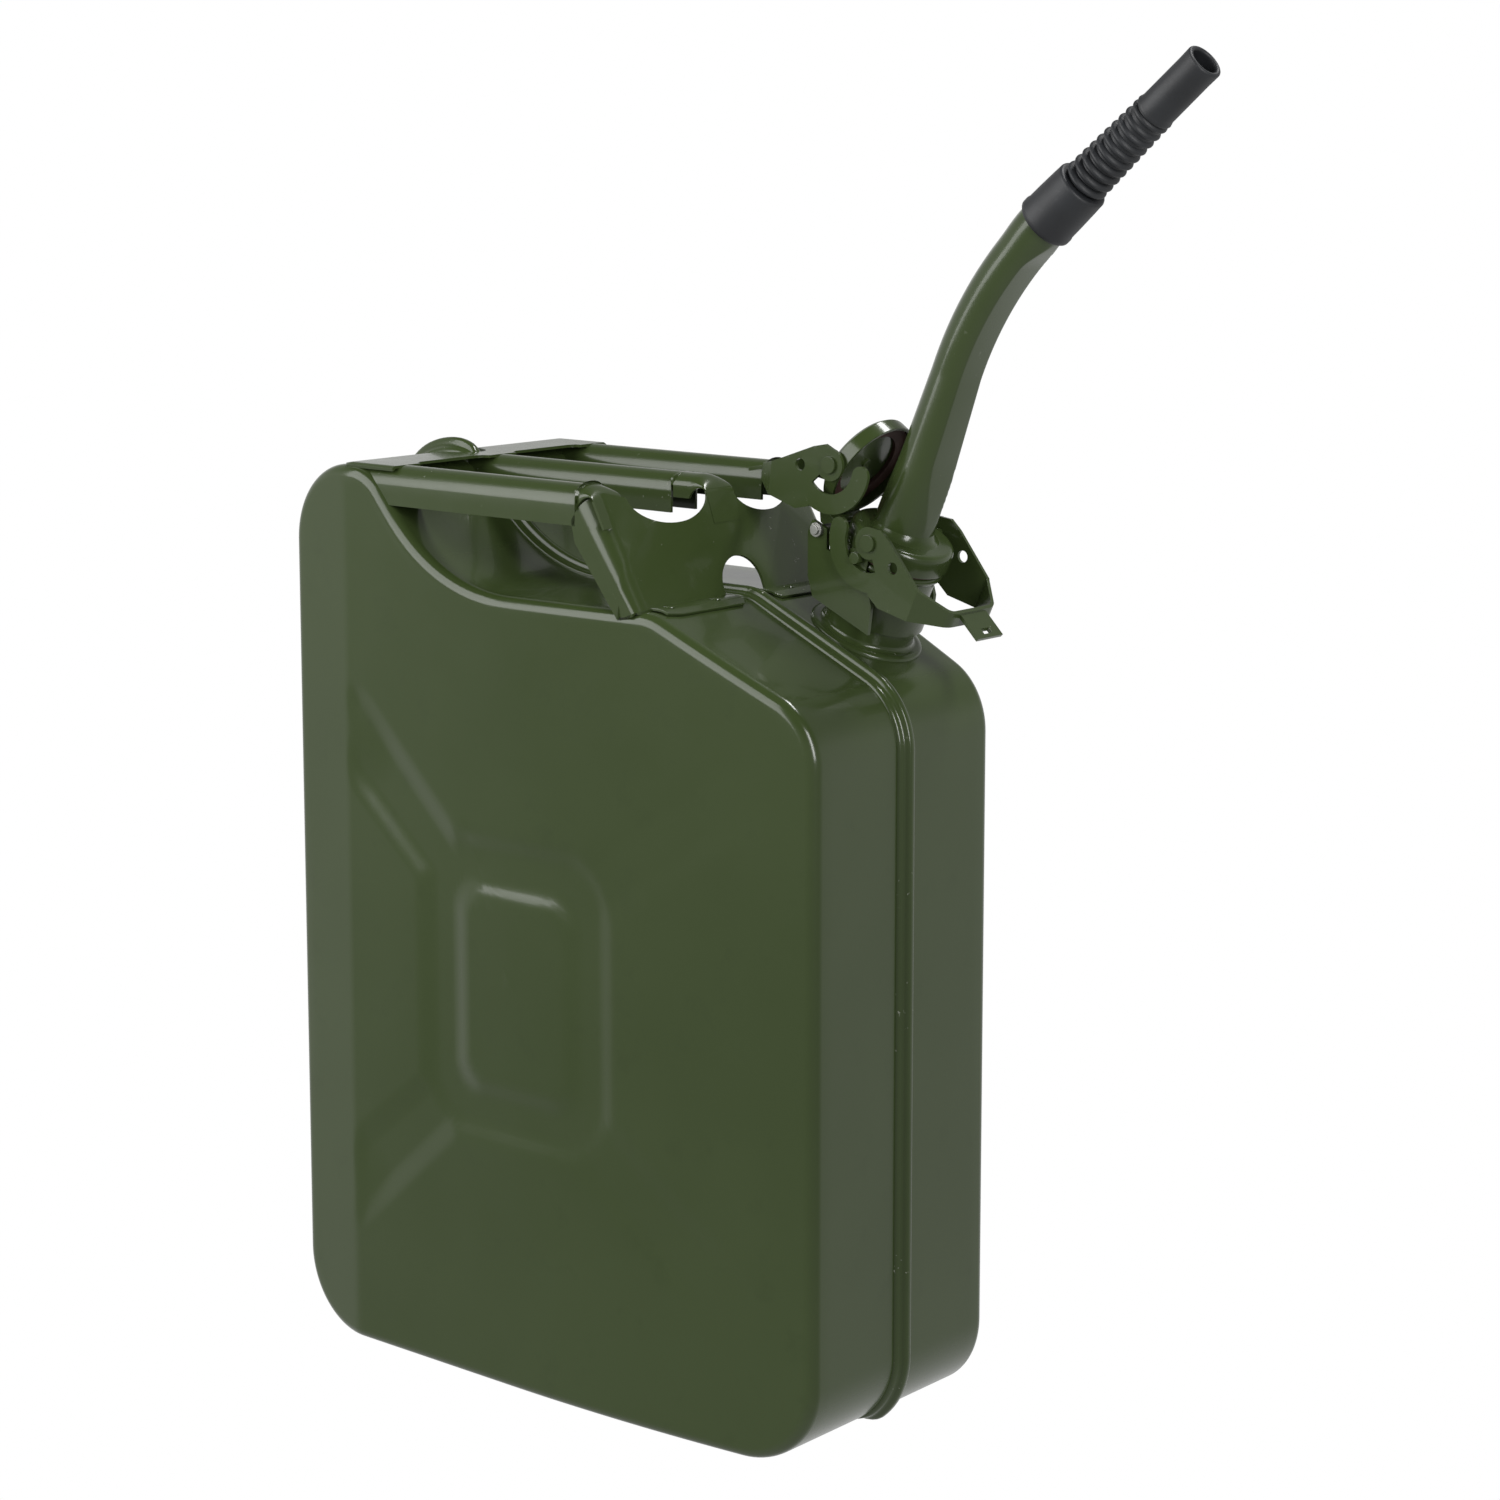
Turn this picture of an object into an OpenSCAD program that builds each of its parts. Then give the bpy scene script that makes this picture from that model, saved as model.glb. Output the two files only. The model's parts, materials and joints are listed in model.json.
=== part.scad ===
// Twenty litre steel jerry can with its pouring spout clamped on and its own lid flipped back.
// X runs along the can (filler end at +X), Y through its thickness, Z is up.
// The origin is the middle of the base. Sizes are in millimetres and angles in degrees.

/* [Can body] */
// Length of the two shells, without the seam
body_l = 345; // [335:1:355]
// Width over the two large faces at their widest
body_w = 165; // [160:1:172]
// Width over the large faces at the filler end
front_w = 137; // [134:1:146]
// Height to the top of the carrying handle
total_h = 470; // [464:1:478]
// Height of the recess floor under the handle bars
floor_z = 411; // [407:1:414]
// Radius of the three outer corners in side view
corner_r = 42; // [36:1:42]
// Radius of the edges between the large faces and the rim
edge_r = 6; // [4:1:8]
// Thickness of the pressed steel shells
shell_t = 1.2; // [1:0.1:1.6]

/* [Seam] */
// Width of the rolled seam
seam_w = 13; // [11:1:13]
// How far the seam stands proud of the shells
seam_h = 5; // [4:0.5:6]

/* [Sloped shoulder] */
// Distance from the middle of the can to where the shoulder starts to fall
slope_x = 78; // [76:1:80]
// Angle of the shoulder, and of the filler neck from vertical
slope_a = 24.4; // [23:0.2:25]

/* [Carrying handle] */
// Distance between the middles of neighbouring bars
bar_pitch = 70; // [68:1:70]
// Width of each bar
bar_w = 20; // [18:1:20]
// Thickness of the pressed handle sheet
handle_t = 1.5; // [1.2:0.1:2]

/* [Filler neck] */
// Distance of the neck from the middle seam
neck_y = 38; // [38:0.5:39]
// Distance down the shoulder from its start to the neck axis
neck_u = 44; // [42:1:46]
// Outer radius of the neck
neck_r = 23; // [22:0.5:23]
// Height of the neck above the shoulder
neck_h = 44; // [43.5:0.5:44]

/* [Closure] */
// Radius of the lid and of the spout base
cap_r = 26.5; // [26:0.5:26.5]
// Angle that the open lid has turned back from closed
lid_open = 80; // [78:1:84]
// Thickness of the clamping lever sheet
lever_t = 1.8; // [1.5:0.1:2]

/* [Spout] */
// Outer radius of the spout at its base
spout_r0 = 15.5; // [14:0.5:16]
// Outer radius of the spout along its bend
spout_r1 = 12.3; // [11.5:0.1:12.5]
// Backward lean of the spout from the neck axis
spout_lean = 3; // [2:0.5:4]
// Length of the straight part
spout_straight = 86; // [80:1:92]
// Radius of the bend
spout_bend_r = 185; // [170:5:200]
// Angle of the bend
spout_bend_a = 28; // [24:1:30]

/* [Flexible nozzle] */
// Outer radius of the sleeve over the spout
sleeve_r = 14; // [13.5:0.5:15]
// Length of the bellows
bellows_l = 50; // [46:1:54]
// Number of ribs on the bellows
rib_count = 10; // [8:1:12]
// Length of the plain outlet tube
outlet_l = 36; // [30:1:42]
// Outer radius of the outlet tube
outlet_r = 9.3; // [8.8:0.1:9.6]

/* [Hidden] */
$fn = 64;

olive = "#47552f";
olive_dark = "#3c4a28";
black = "#26282a";
rubber = "#3a1f1a";
steel = "#8a8d86";

eps = 0.01;
hump_z = total_h - handle_t;        // top of the shells behind the bars
scoop_r = 100;                      // concave radius from the recess floor up to the hump
scoop_x = -18;                      // middle of that radius
scoop_a = 50;                       // steepest angle of the hump's front
brow_r = 28;                        // convex radius at the top of the hump
shoulder_r = 30;                    // radius between recess floor and shoulder
nose_r = 36;                        // radius between shoulder and front
bow_x = -20;                        // where the large faces start to curve inwards
bow_r = (body_l / 2 - bow_x) ^ 2 / (body_w - front_w);

// Points along an arc in the side view
function arc(c, r, a0, a1, n) =
    [for (i = [0:n]) let (a = a0 + (a1 - a0) * i / n) [c[0] + r * cos(a), c[1] + r * sin(a)]];

half_l = body_l / 2;
scoop_end = [scoop_x - scoop_r * sin(scoop_a), floor_z + scoop_r * (1 - cos(scoop_a))];
brow_start_z = hump_z - brow_r * (1 - cos(scoop_a));
brow_x = scoop_end[0] - (brow_start_z - scoop_end[1]) / tan(scoop_a) - brow_r * sin(scoop_a);
nose_x = half_l - nose_r;
nose_z = floor_z - (nose_x - slope_x) * tan(slope_a) - nose_r / cos(slope_a);

// Side view of the can, anticlockwise from the rear bottom corner
base_points = concat(
    arc([-half_l + corner_r, corner_r], corner_r, 180, 270, 8),
    [for (i = [0:4]) [bow_x + i * 28, 0]],
    arc([half_l - corner_r, corner_r], corner_r, 270, 360, 8)
);
bend_x = slope_x - shoulder_r * tan(slope_a / 2);
top_points = concat(
    arc([nose_x, nose_z], nose_r, 0, 90 - slope_a, 6),
    [for (x = [134, 110]) [x, floor_z - (x - slope_x) * tan(slope_a)]],
    arc([bend_x, floor_z - shoulder_r], shoulder_r, 90 - slope_a, 90, 3),
    [for (x = [bend_x - 24, bend_x - 52]) [x, floor_z]],
    arc([scoop_x, floor_z + scoop_r], scoop_r, 270, 270 - scoop_a, 9),
    arc([brow_x, hump_z - brow_r], brow_r, 90 - scoop_a, 90, 5),
    arc([-half_l + corner_r, hump_z - corner_r], corner_r, 90, 180, 8)
);
side_view = concat(base_points, top_points);
side_n = len(side_view);

// Inward direction at each point of the side view
function inward(i) =
    let (d = side_view[(i + 1) % side_n] - side_view[(i + side_n - 1) % side_n]) [-d[1], d[0]] / norm(d);
side_in = [for (i = [0:side_n - 1]) inward(i)];

// The side view grown by d all round
function grown(d) = [for (i = [0:side_n - 1]) side_view[i] - side_in[i] * d];

// Distance of a large face from the seam plane
function face_y(x) = body_w / 2 - (x > bow_x ? (x - bow_x) ^ 2 / (2 * bow_r) : 0);

// One ring of a half shell: the side view inset by d, at the height y of the rolled edge
function ring(d, y) = [
    for (i = [0:side_n - 1]) let (p = side_view[i] + side_in[i] * d)
        [p[0], y < 0 ? 0 : face_y(side_view[i][0]) - edge_r + y, p[1]]
];
edge_steps = 4;
function skin(t) = concat(
    ring(t, -1),
    [for (k = [0:edge_steps], p = let (a = 90 * k / edge_steps, r = edge_r - t)
        ring(t + r * (1 - cos(a)), r * sin(a))) p]
);

// Triangles between neighbouring rings, and over the last ring from base to top
function band(k, o) = [
    for (i = [0:side_n - 1]) let (j = (i + 1) % side_n, a = o + k * side_n, b = a + side_n)
        each [[a + i, b + i, b + j], [a + i, b + j, a + j]]
];
base_n = len(base_points);
function nx(i) = side_view[i][0];
function cover(o) = [
    for (i = 0, j = side_n - 1, up = false, run = true;
         run;
         up = (i < base_n - 1) && (j <= base_n || nx(i + 1) <= nx(j - 1)),
         tri = up ? [o + i, o + j, o + i + 1] : [o + i, o + j, o + j - 1],
         ii = up ? i + 1 : i, jj = up ? j : j - 1,
         run = i < base_n - 1 || j > base_n, i = ii, j = jj)
        if (!is_undef(tri)) tri
];
ring_n = edge_steps + 2;
function flip(faces) = [for (f = faces) [f[2], f[1], f[0]]];

function skin_faces(o) = concat(
    [for (k = [0:ring_n - 2], f = band(k, o)) f],
    cover(o + (ring_n - 1) * side_n)
);
inner_o = ring_n * side_n;
rim_faces = [
    for (i = [0:side_n - 1]) let (j = (i + 1) % side_n)
        each [[i, j, inner_o + j], [i, inner_o + j, inner_o + i]]
];

// Half of the can as one pressed sheet, on the +Y side
module half_shell() {
    polyhedron(
        points = concat(skin(0), skin(shell_t)),
        faces = concat(flip(skin_faces(0)), skin_faces(inner_o), flip(rim_faces)),
        convexity = 6
    );
}

// Solid through the whole side view, for trimming what sits on the can
module body_block(d = 0, w = body_w + 20) {
    rotate([90, 0, 0]) linear_extrude(w, center = true) polygon(grown(d));
}

// ---- Neck frame: a is down the shoulder, h is up the neck axis ----
neck_base = [slope_x + neck_u * cos(slope_a), neck_y, floor_z - neck_u * sin(slope_a)];
module at_neck() {
    translate(neck_base) rotate([0, slope_a, 0]) children();
}

neck_fit = 0.1;
module neck_hole() {
    at_neck() translate([0, 0, -20]) cylinder(r = neck_r + neck_fit, h = 40);
}

module shell_left() {
    color(olive) difference() {
        half_shell();
        neck_hole();
    }
}

module shell_right() {
    color(olive) mirror([0, 1, 0]) half_shell();
}

// Rolled seam, in three steps of height, flush with the base
module seam() {
    color(olive) intersection() {
        union() {
            for (s = [[1, 0.45], [0.8, 0.8], [0.5, 1]]) {
                rotate([90, 0, 0]) linear_extrude(seam_w * s[0], center = true) difference() {
                    polygon(grown(seam_h * s[1]));
                    polygon(side_view);
                }
            }
        }
        seam_run();
    }
}

// ---- Carrying handle, one pressing ----
bar_z = total_h - bar_w / 2;        // middle of the round top of a bar
bar_drop = bar_w;                   // height of a bar
plate_back = -133;                  // rear edge of the plate on the hump
window_back = -100;                 // where the windows between bars start
slit_x = 32;                        // where the bars' legs end
web_top = [48, total_h];            // front web, top and foot, in side view
web_foot = [72, floor_z + 1];
handle_y = bar_pitch + bar_w / 2;   // half width of the handle
seam_clear = 0.6;
plate_cut_r = 15;                   // scallops in the plate, and the arch in the web over the seam
arch_r = 12;

// Hat section of a bar, open at the bottom, with a round top of radius r
function hat(r, z) = concat([[-r, z]], [for (i = [0:12]) r * [-cos(15 * i), sin(15 * i)]], [[r, z]]);
module bar_section() {
    difference() {
        polygon(hat(bar_w / 2, bar_w / 2 - bar_drop));
        polygon(hat(bar_w / 2 - handle_t, bar_w / 2 - bar_drop - 1));
    }
}

module along_x(x0, x1) {
    translate([x0, 0, bar_z]) rotate([90, 0, 90]) linear_extrude(x1 - x0) children();
}

module bars() {
    for (s = [-1:1]) translate([0, s * bar_pitch, 0]) {
        along_x(plate_back + 14, slit_x) bar_section();
        along_x(slit_x - eps, web_top[0]) intersection() {
            bar_section();
            translate([-bar_w, 3]) square(2 * bar_w);
        }
    }
}

module rear_plate() {
    difference() {
        translate([plate_back, -handle_y, hump_z - 0.2])
            cube([window_back - plate_back, 2 * handle_y, handle_t + 0.2]);
        translate([plate_back, 0, hump_z - 1]) cylinder(r = plate_cut_r, h = 4);
        for (s = [-1, 1]) translate([window_back + 6, s * bar_pitch / 2, hump_z - 1])
            cylinder(r = plate_cut_r, h = 4);
    }
}

// Front web in side view, from the bars down to the foot
web_a = atan2(web_foot[0] - web_top[0], web_top[1] - web_foot[1]);
web_len = norm(web_foot - web_top);
module front_web() {
    translate([web_top[0], 0, web_top[1]]) rotate([0, -web_a, 0]) translate([-handle_t, 0, 0])
        rotate([90, 0, 90]) linear_extrude(handle_t) difference() {
            translate([-handle_y, -web_len]) square([2 * handle_y, web_len]);
            for (s = [-1, 1]) translate([s * bar_pitch / 2, 2]) {
                circle(bar_pitch / 2 - bar_w / 2 + 1);
                translate([-bar_pitch / 2 + bar_w / 2 - 1, 0]) square([bar_pitch - bar_w + 2, 9]);
            }
            translate([0, -web_len + 10]) circle(arch_r);
            translate([-arch_r, -web_len - 1]) square([2 * arch_r, 11]);
        }
}

module side_flanges() {
    for (s = [-1, 1]) translate([0, s * (handle_y - handle_t / 2), 0])
        rotate([90, 0, 0]) linear_extrude(handle_t, center = true)
            polygon([[slit_x, 452], [slit_x, 442], [56, 410], web_foot, web_top - [3, 6], [36, 465]]);
}

module foot_strip() {
    intersection() {
        rotate([90, 0, 0]) linear_extrude(2 * handle_y - 0.4, center = true) polygon(grown(handle_t));
        difference() {
            translate([web_foot[0] - 2, -handle_y, floor_z - 30]) cube([16, 2 * handle_y, 40]);
            translate([web_foot[0] - 5, -arch_r, floor_z - 40]) cube([30, 2 * arch_r, 80]);
        }
    }
}

// Room for the seam, which stops either side of the bars' roots
root_x0 = plate_back + 16;
root_x1 = window_back + 4;
module seam_run() {
    translate([-body_l, -seam_w, 0]) cube([body_l + root_x0, 2 * seam_w, 2 * total_h]);
    translate([root_x1, -seam_w, 0]) cube([body_l, 2 * seam_w, 2 * total_h]);
    translate([-body_l, -seam_w, 0]) cube([2 * body_l, 2 * seam_w, floor_z - 20]);
}

module carry_handle() {
    color(olive) difference() {
        union() {
            bars();
            rear_plate();
            front_web();
            side_flanges();
            foot_strip();
        }
        body_block();
        intersection() {
            body_block(seam_h + seam_clear, seam_w + 2 * seam_clear);
            seam_run();
        }
    }
}

// ---- Filler neck and what is fixed to it ----
lip_h = 4;                          // height and overhang of the lip
lip_out = 2.2;
bore_r = neck_r - 2.5;
neck_in = 14;                       // how far the neck reaches into the can
module filler_neck() {
    color(olive) at_neck() difference() {
        union() {
            translate([0, 0, -neck_in]) cylinder(r = neck_r, h = neck_h + neck_in);
            translate([0, 0, neck_h - lip_h]) cylinder(r = neck_r + lip_out, h = lip_h);
        }
        translate([0, 0, -neck_in - 1]) cylinder(r = bore_r, h = neck_h + neck_in + 2);
        vent_bore();
    }
}

module neck_flange() {
    color(olive) at_neck() difference() {
        cylinder(r = neck_r + 6, h = 1.6);
        translate([0, 0, -1]) cylinder(r = neck_r, h = 4);
    }
}

// Air pipe from the neck to the highest point at the rear
vent_r = 4.5;
vent_h = -8;
vent_start = [
    neck_base[0] - (neck_r - 1) * cos(slope_a) + vent_h * sin(slope_a),
    neck_base[2] + (neck_r - 1) * sin(slope_a) + vent_h * cos(slope_a)
];
vent_back = -128;
vent_top = hump_z - 16;
riser_r = 5.5;
module vent_path(r) {
    translate([vent_back, neck_y, vent_start[1]]) rotate([0, 90, 0])
        cylinder(r = r, h = vent_start[0] + 4 - vent_back);
}
module vent_bore() {
    rotate([0, -slope_a, 0]) translate(-neck_base) vent_path(vent_r);
}
module tube(r, t, h) {
    difference() {
        cylinder(r = r, h = h);
        translate([0, 0, -1]) cylinder(r = r - t, h = h + 2);
    }
}
// Ring section swept round the Y axis
module elbow(r, t, bend, a0, a) {
    rotate([90, 0, 0]) rotate([0, 0, a0]) rotate_extrude(angle = a, $fn = 96)
        translate([bend, 0]) difference() {
            circle(r, $fn = 48);
            circle(r - t, $fn = 48);
        }
}
module vent_tube() {
    riser_z = vent_start[1] - 8;
    color(steel) difference() {
        union() {
            vent_path(vent_r);
            translate([vent_back, neck_y, riser_z]) cylinder(r = riser_r, h = vent_top - riser_z);
        }
        translate([1, 0, 0]) vent_path(vent_r - 1);
        translate([vent_back, neck_y, riser_z + 1]) cylinder(r = riser_r - 1, h = vent_top - riser_z);
    }
}

// Pivots of the closure, in the neck frame
hinge_at = [-31, 44];
pivot_at = [1.4, 54.6];
lug_at = [-2.5, 44.3];
yoke_y0 = 24;                       // inner and outer face of the yoke's side plates
yoke_y1 = 26.2;
lever_y0 = 27.2;                    // inner face of the lever cheeks
lug_r = 3;
pin_r = 2.2;
pin_fit = 0.1;

// A flat plate in the neck frame's side view, from y0 to y1 on both sides
module both_sides(y0, y1) {
    for (s = [0, 1]) mirror([0, s, 0]) translate([0, y1, 0]) rotate([90, 0, 0])
        linear_extrude(y1 - y0) children();
}
module cross_pin(at, r, y) {
    translate([at[0], 0, at[1]]) rotate([90, 0, 0]) cylinder(r = r, h = 2 * y, center = true);
}

yoke_side = [
    [-36, 47], [-36, 40], [-27, 20], [-20, 12], [18, 12], [14, 26], [4, 38], [3, 47], [-8, 47],
    [-14, 38], [-22, 38], [-26, 47]
];
collar_h0 = 12;                     // collar that carries the side plates
collar_l = 14;
module closure_yoke() {
    color(olive_dark) at_neck() difference() {
        union() {
            translate([0, 0, collar_h0]) cylinder(r = neck_r + 2.6, h = collar_l);
            both_sides(yoke_y0, yoke_y1) polygon(yoke_side);
        }
        translate([0, 0, -1]) cylinder(r = neck_r + eps, h = 60);
        translate([0, 0, neck_h - lip_h - 1]) cylinder(r = neck_r + 2.5, h = 20);
        cross_pin(hinge_at, pin_r + eps, 40);
    }
}

lug_y1 = 30.5;
module yoke_lugs() {
    color(olive_dark) at_neck() for (s = [0, 1]) mirror([0, s, 0])
        translate([lug_at[0], lug_y1, lug_at[1]]) rotate([90, 0, 0])
            cylinder(r = lug_r, h = lug_y1 - yoke_y1);
}

pin_y = 29;
module lid_hinge_pin() {
    color(steel) at_neck() {
        cross_pin(hinge_at, pin_r, pin_y);
        for (s = [-1, 1]) translate([hinge_at[0], s * (yoke_y1 + 0.9), hinge_at[1]]) rotate([90, 0, 0])
            cylinder(r = 3.6, h = 1.8, center = true);
    }
}

// ---- The can's own lid, drawn closed and turned back about its hinge ----
module lid_place() {
    at_neck() translate([hinge_at[0], 0, hinge_at[1]]) rotate([0, -lid_open, 0])
        translate([-hinge_at[0], 0, -hinge_at[1]]) children();
}

cap_h0 = 48;                        // rim and top of a cap, above the shoulder
cap_h1 = 57;
cap_wall = 1.6;
cap_edge = 2;
rivet_r = 2.5;
module cap_solid() {
    translate([0, 0, cap_h0]) cylinder(r = cap_r, h = cap_h1 - cap_h0 - cap_edge);
    translate([0, 0, cap_h1 - cap_edge]) cylinder(r1 = cap_r, r2 = cap_r - cap_edge, h = cap_edge);
}
module lid_cap() {
    color(olive) lid_place() difference() {
        cap_solid();
        translate([0, 0, cap_h0 - 1]) cylinder(r = cap_r - cap_wall, h = cap_h1 - cap_h0 + 1 - cap_wall);
        translate([0, 0, cap_h0]) cylinder(r = rivet_r, h = 20);
    }
}

gasket_r0 = 17.5;
gasket_t = 3;
retainer_t = 1.2;
module lid_gasket() {
    color(rubber) lid_place() translate([0, 0, cap_h1 - cap_wall - gasket_t]) difference() {
        cylinder(r = cap_r - cap_wall, h = gasket_t);
        translate([0, 0, -1]) cylinder(r = gasket_r0, h = 5);
    }
}

module lid_retainer() {
    color(olive_dark) lid_place() {
        difference() {
            translate([0, 0, cap_h1 - cap_wall - retainer_t]) cylinder(r = gasket_r0, h = retainer_t);
            translate([0, 0, cap_h0]) cylinder(r = rivet_r, h = 20);
        }
        translate([0, 0, cap_h1 - cap_wall - 2 * retainer_t]) cylinder(r = rivet_r, h = cap_wall + 3);
    }
}

arm_y = 12;
arm_t = 2;
knuckle_r = 4.2;
module lid_hinge_arm() {
    color(olive_dark) lid_place() difference() {
        union() {
            cross_pin(hinge_at, knuckle_r, arm_y);
            rotate([90, 0, 0]) linear_extrude(2 * arm_y, center = true)
                polygon([
                    [hinge_at[0] - knuckle_r, hinge_at[1]], [hinge_at[0] - knuckle_r, cap_h1 - 4],
                    [-28, cap_h1 + arm_t],
                    [-8, cap_h1 + arm_t], [-8, cap_h1], [-27.5, cap_h1], [-28.2, cap_h1 - 4],
                    [hinge_at[0] + 2, hinge_at[1]]
                ]);
        }
        cross_pin(hinge_at, pin_r + pin_fit, 40);
        cap_solid();
    }
}

// Short stub pins on the sides of a cap, on which its lever turns
stub_r = 2.4;
stub_in = 2.5;                      // how far a pin is sunk into the cap
stub_head_r = 4.2;
module stub_pins() {
    head_y = lever_y0 + lever_t + 0.1;
    for (s = [0, 1]) mirror([0, s, 0]) translate([pivot_at[0], 0, pivot_at[1]]) rotate([-90, 0, 0]) {
        translate([0, 0, cap_r - stub_in]) cylinder(r = stub_r, h = head_y + 0.2 - cap_r + stub_in);
        translate([0, 0, head_y]) cylinder(r = stub_head_r, h = 1.4);
    }
}
module lid_pivots() {
    color(steel) lid_place() difference() {
        stub_pins();
        cap_solid();
    }
}

// ---- Clamping lever: two cheeks with claws, a front bridge and a thumb tab ----
claw_r0 = 14.5;
claw_r1 = 24.3;
claw_tip = -176;
claw_root = -42;
lock_hole = [18.1, -3.8];
lock_hole_r = 3;
nose_a = 52;                        // how far the bridge is from the pivot
nose_h = -12;                       // top of the bridge below the pivot
nose_r0 = 8;                        // outer radius of the bends into the bridge, and their middle
nose_mid = [nose_a - nose_r0, 13];
draw_in = 36;                       // where the cheeks start to draw in towards the bridge
tab_w = 20;
tab_l = 17;
tab_a = 21;
slot_at = 9;                        // slot in the tab
cheek_points = [
    [-4, 7], [4, 9.5], [11, 7], [19.5, 2.5], [37, -6.8], [nose_a + 1, nose_h], [nose_a + 1, nose_h - 7],
    [36, -23], [18, -26], [9.7, -23], [9.7, -10.8], [5.5, -6], [-2, -6]
];
claw_m = (claw_r0 + claw_r1) / 2;
claw_w = (claw_r1 - claw_r0) / 2;
claw_end = claw_m * [cos(claw_tip), sin(claw_tip)];
claw_outline = concat(
    arc([0, 0], claw_r1, claw_root, claw_tip, 20),
    arc(claw_end, claw_w, claw_tip, claw_tip - 180, 8),
    arc([0, 0], claw_r0, claw_tip, claw_root, 20)
);
module cheek() {
    difference() {
        union() {
            polygon(arc([0, 0], 8, 0, 348, 29));
            polygon(cheek_points);
            polygon(claw_outline);
        }
        circle(stub_r + pin_fit);
        translate(lock_hole) circle(lock_hole_r);
    }
}

// Half of the lever seen from above, from the claws round to the middle of the bridge
function half_plan(d) = concat(
    [[-2 * nose_r0 - claw_r0, lever_y0 + lever_t - d], [draw_in - d / 3, lever_y0 + lever_t - d]],
    arc(nose_mid, nose_r0 - d, 45, 0, 6)
);
function mirrored(points) = [for (i = [len(points) - 1:-1:0]) [points[i][0], -points[i][1]]];
lever_plan = concat(
    half_plan(0), mirrored(half_plan(0)),
    [for (p = half_plan(lever_t)) [p[0], -p[1]]],
    mirrored([for (p = half_plan(lever_t)) [p[0], -p[1]]])
);
module lever() {
    intersection() {
        rotate([90, 0, 0]) linear_extrude(80, center = true) cheek();
        translate([0, 0, -40]) linear_extrude(80) polygon(lever_plan);
    }
    difference() {
        translate([nose_a - lever_t, -tab_w / 2, nose_h]) rotate([0, tab_a, 0])
            translate([0, 0, -lever_t]) cube([tab_l, tab_w, lever_t]);
        translate([nose_a + slot_at, -3, -40]) cube([3, 6, 60]);
    }
}

// Rest position of the lid's lever about its pivots, swung back over the handle
lid_lever_turn = 195.5 - lid_open;
module lid_lever() {
    color(olive) lid_place() translate([pivot_at[0], 0, pivot_at[1]]) rotate([0, -lid_lever_turn, 0])
        mirror([0, 0, 1]) lever();
}

module spout_lever() {
    color(olive) at_neck() translate([pivot_at[0], 0, pivot_at[1]]) lever();
}

// ---- Spout ----
spout_foot = [-1.2, cap_h1 - 1];
module at_spout() {
    at_neck() translate([spout_foot[0], 0, spout_foot[1]]) rotate([0, -spout_lean, 0]) children();
}

module spout_base() {
    color(olive) at_neck() difference() {
        cap_solid();
        translate([0, 0, cap_h0 - 1]) cylinder(r = cap_r - cap_wall, h = 5);
        translate([0, 0, cap_h0]) cylinder(r = 12, h = 12);
        translate([spout_foot[0], 0, spout_foot[1]]) rotate([0, -spout_lean, 0])
            translate([0, 0, -4]) cylinder(r = spout_r0, h = 20);
    }
}

module spout_gasket() {
    color(rubber) at_neck() translate([0, 0, neck_h]) difference() {
        cylinder(r = cap_r - cap_wall - 0.2, h = cap_h0 + 4 - neck_h);
        translate([0, 0, -1]) cylinder(r = gasket_r0, h = 12);
    }
}

module spout_pivots() {
    color(steel) at_neck() difference() {
        stub_pins();
        cap_solid();
    }
}

spout_t = 1.2;
stub_l = 20;                        // straight end of the spout inside the sleeve
module at_spout_end() {
    translate([spout_bend_r, 0, spout_straight]) rotate([0, spout_bend_a, 0])
        translate([-spout_bend_r, 0, 0]) children();
}
module spout_tube() {
    color(olive) at_spout() difference() {
        cylinder(r1 = spout_r0, r2 = spout_r1, h = spout_straight);
        translate([0, 0, -1]) cylinder(r = spout_r1 - spout_t, h = spout_straight + 2);
    }
}

module spout_bend() {
    color(olive) at_spout() {
        translate([spout_bend_r, 0, spout_straight])
            elbow(spout_r1, spout_t, spout_bend_r, 180 - spout_bend_a, spout_bend_a);
        at_spout_end() tube(spout_r1, spout_t, stub_l);
    }
}

// Thin air pipe inside the straight part of the spout
module breather_tube() {
    color(steel) at_spout() translate([-7, 0, 6]) tube(3, 0.8, 66);
}

// Gauze strainer cup hanging from the spout base into the neck
strainer_r = 14;
strainer_h0 = 22;
module strainer() {
    color(steel) at_neck() difference() {
        translate([0, 0, strainer_h0]) cylinder(r = strainer_r, h = cap_h0 + 4 - strainer_h0);
        translate([0, 0, strainer_h0 + 1]) cylinder(r = strainer_r - 1, h = 40);
        for (a = [0:30:330], z = [26, 34, 42]) rotate([0, 0, a])
            translate([strainer_r - 4, -1.5, z]) cube([8, 3, 5]);
    }
}

// ---- Flexible plastic nozzle ----
module at_nozzle() {
    at_spout() at_spout_end() children();
}

sleeve_l = 29;
nozzle_bore = 6.6;
module nozzle_sleeve() {
    color(black) at_nozzle() difference() {
        cylinder(r1 = sleeve_r + 0.4, r2 = sleeve_r - 0.6, h = sleeve_l);
        translate([0, 0, -1]) cylinder(r = spout_r1 + 0.05, h = stub_l + 1);
        cylinder(r = nozzle_bore, h = 60);
    }
}

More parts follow.
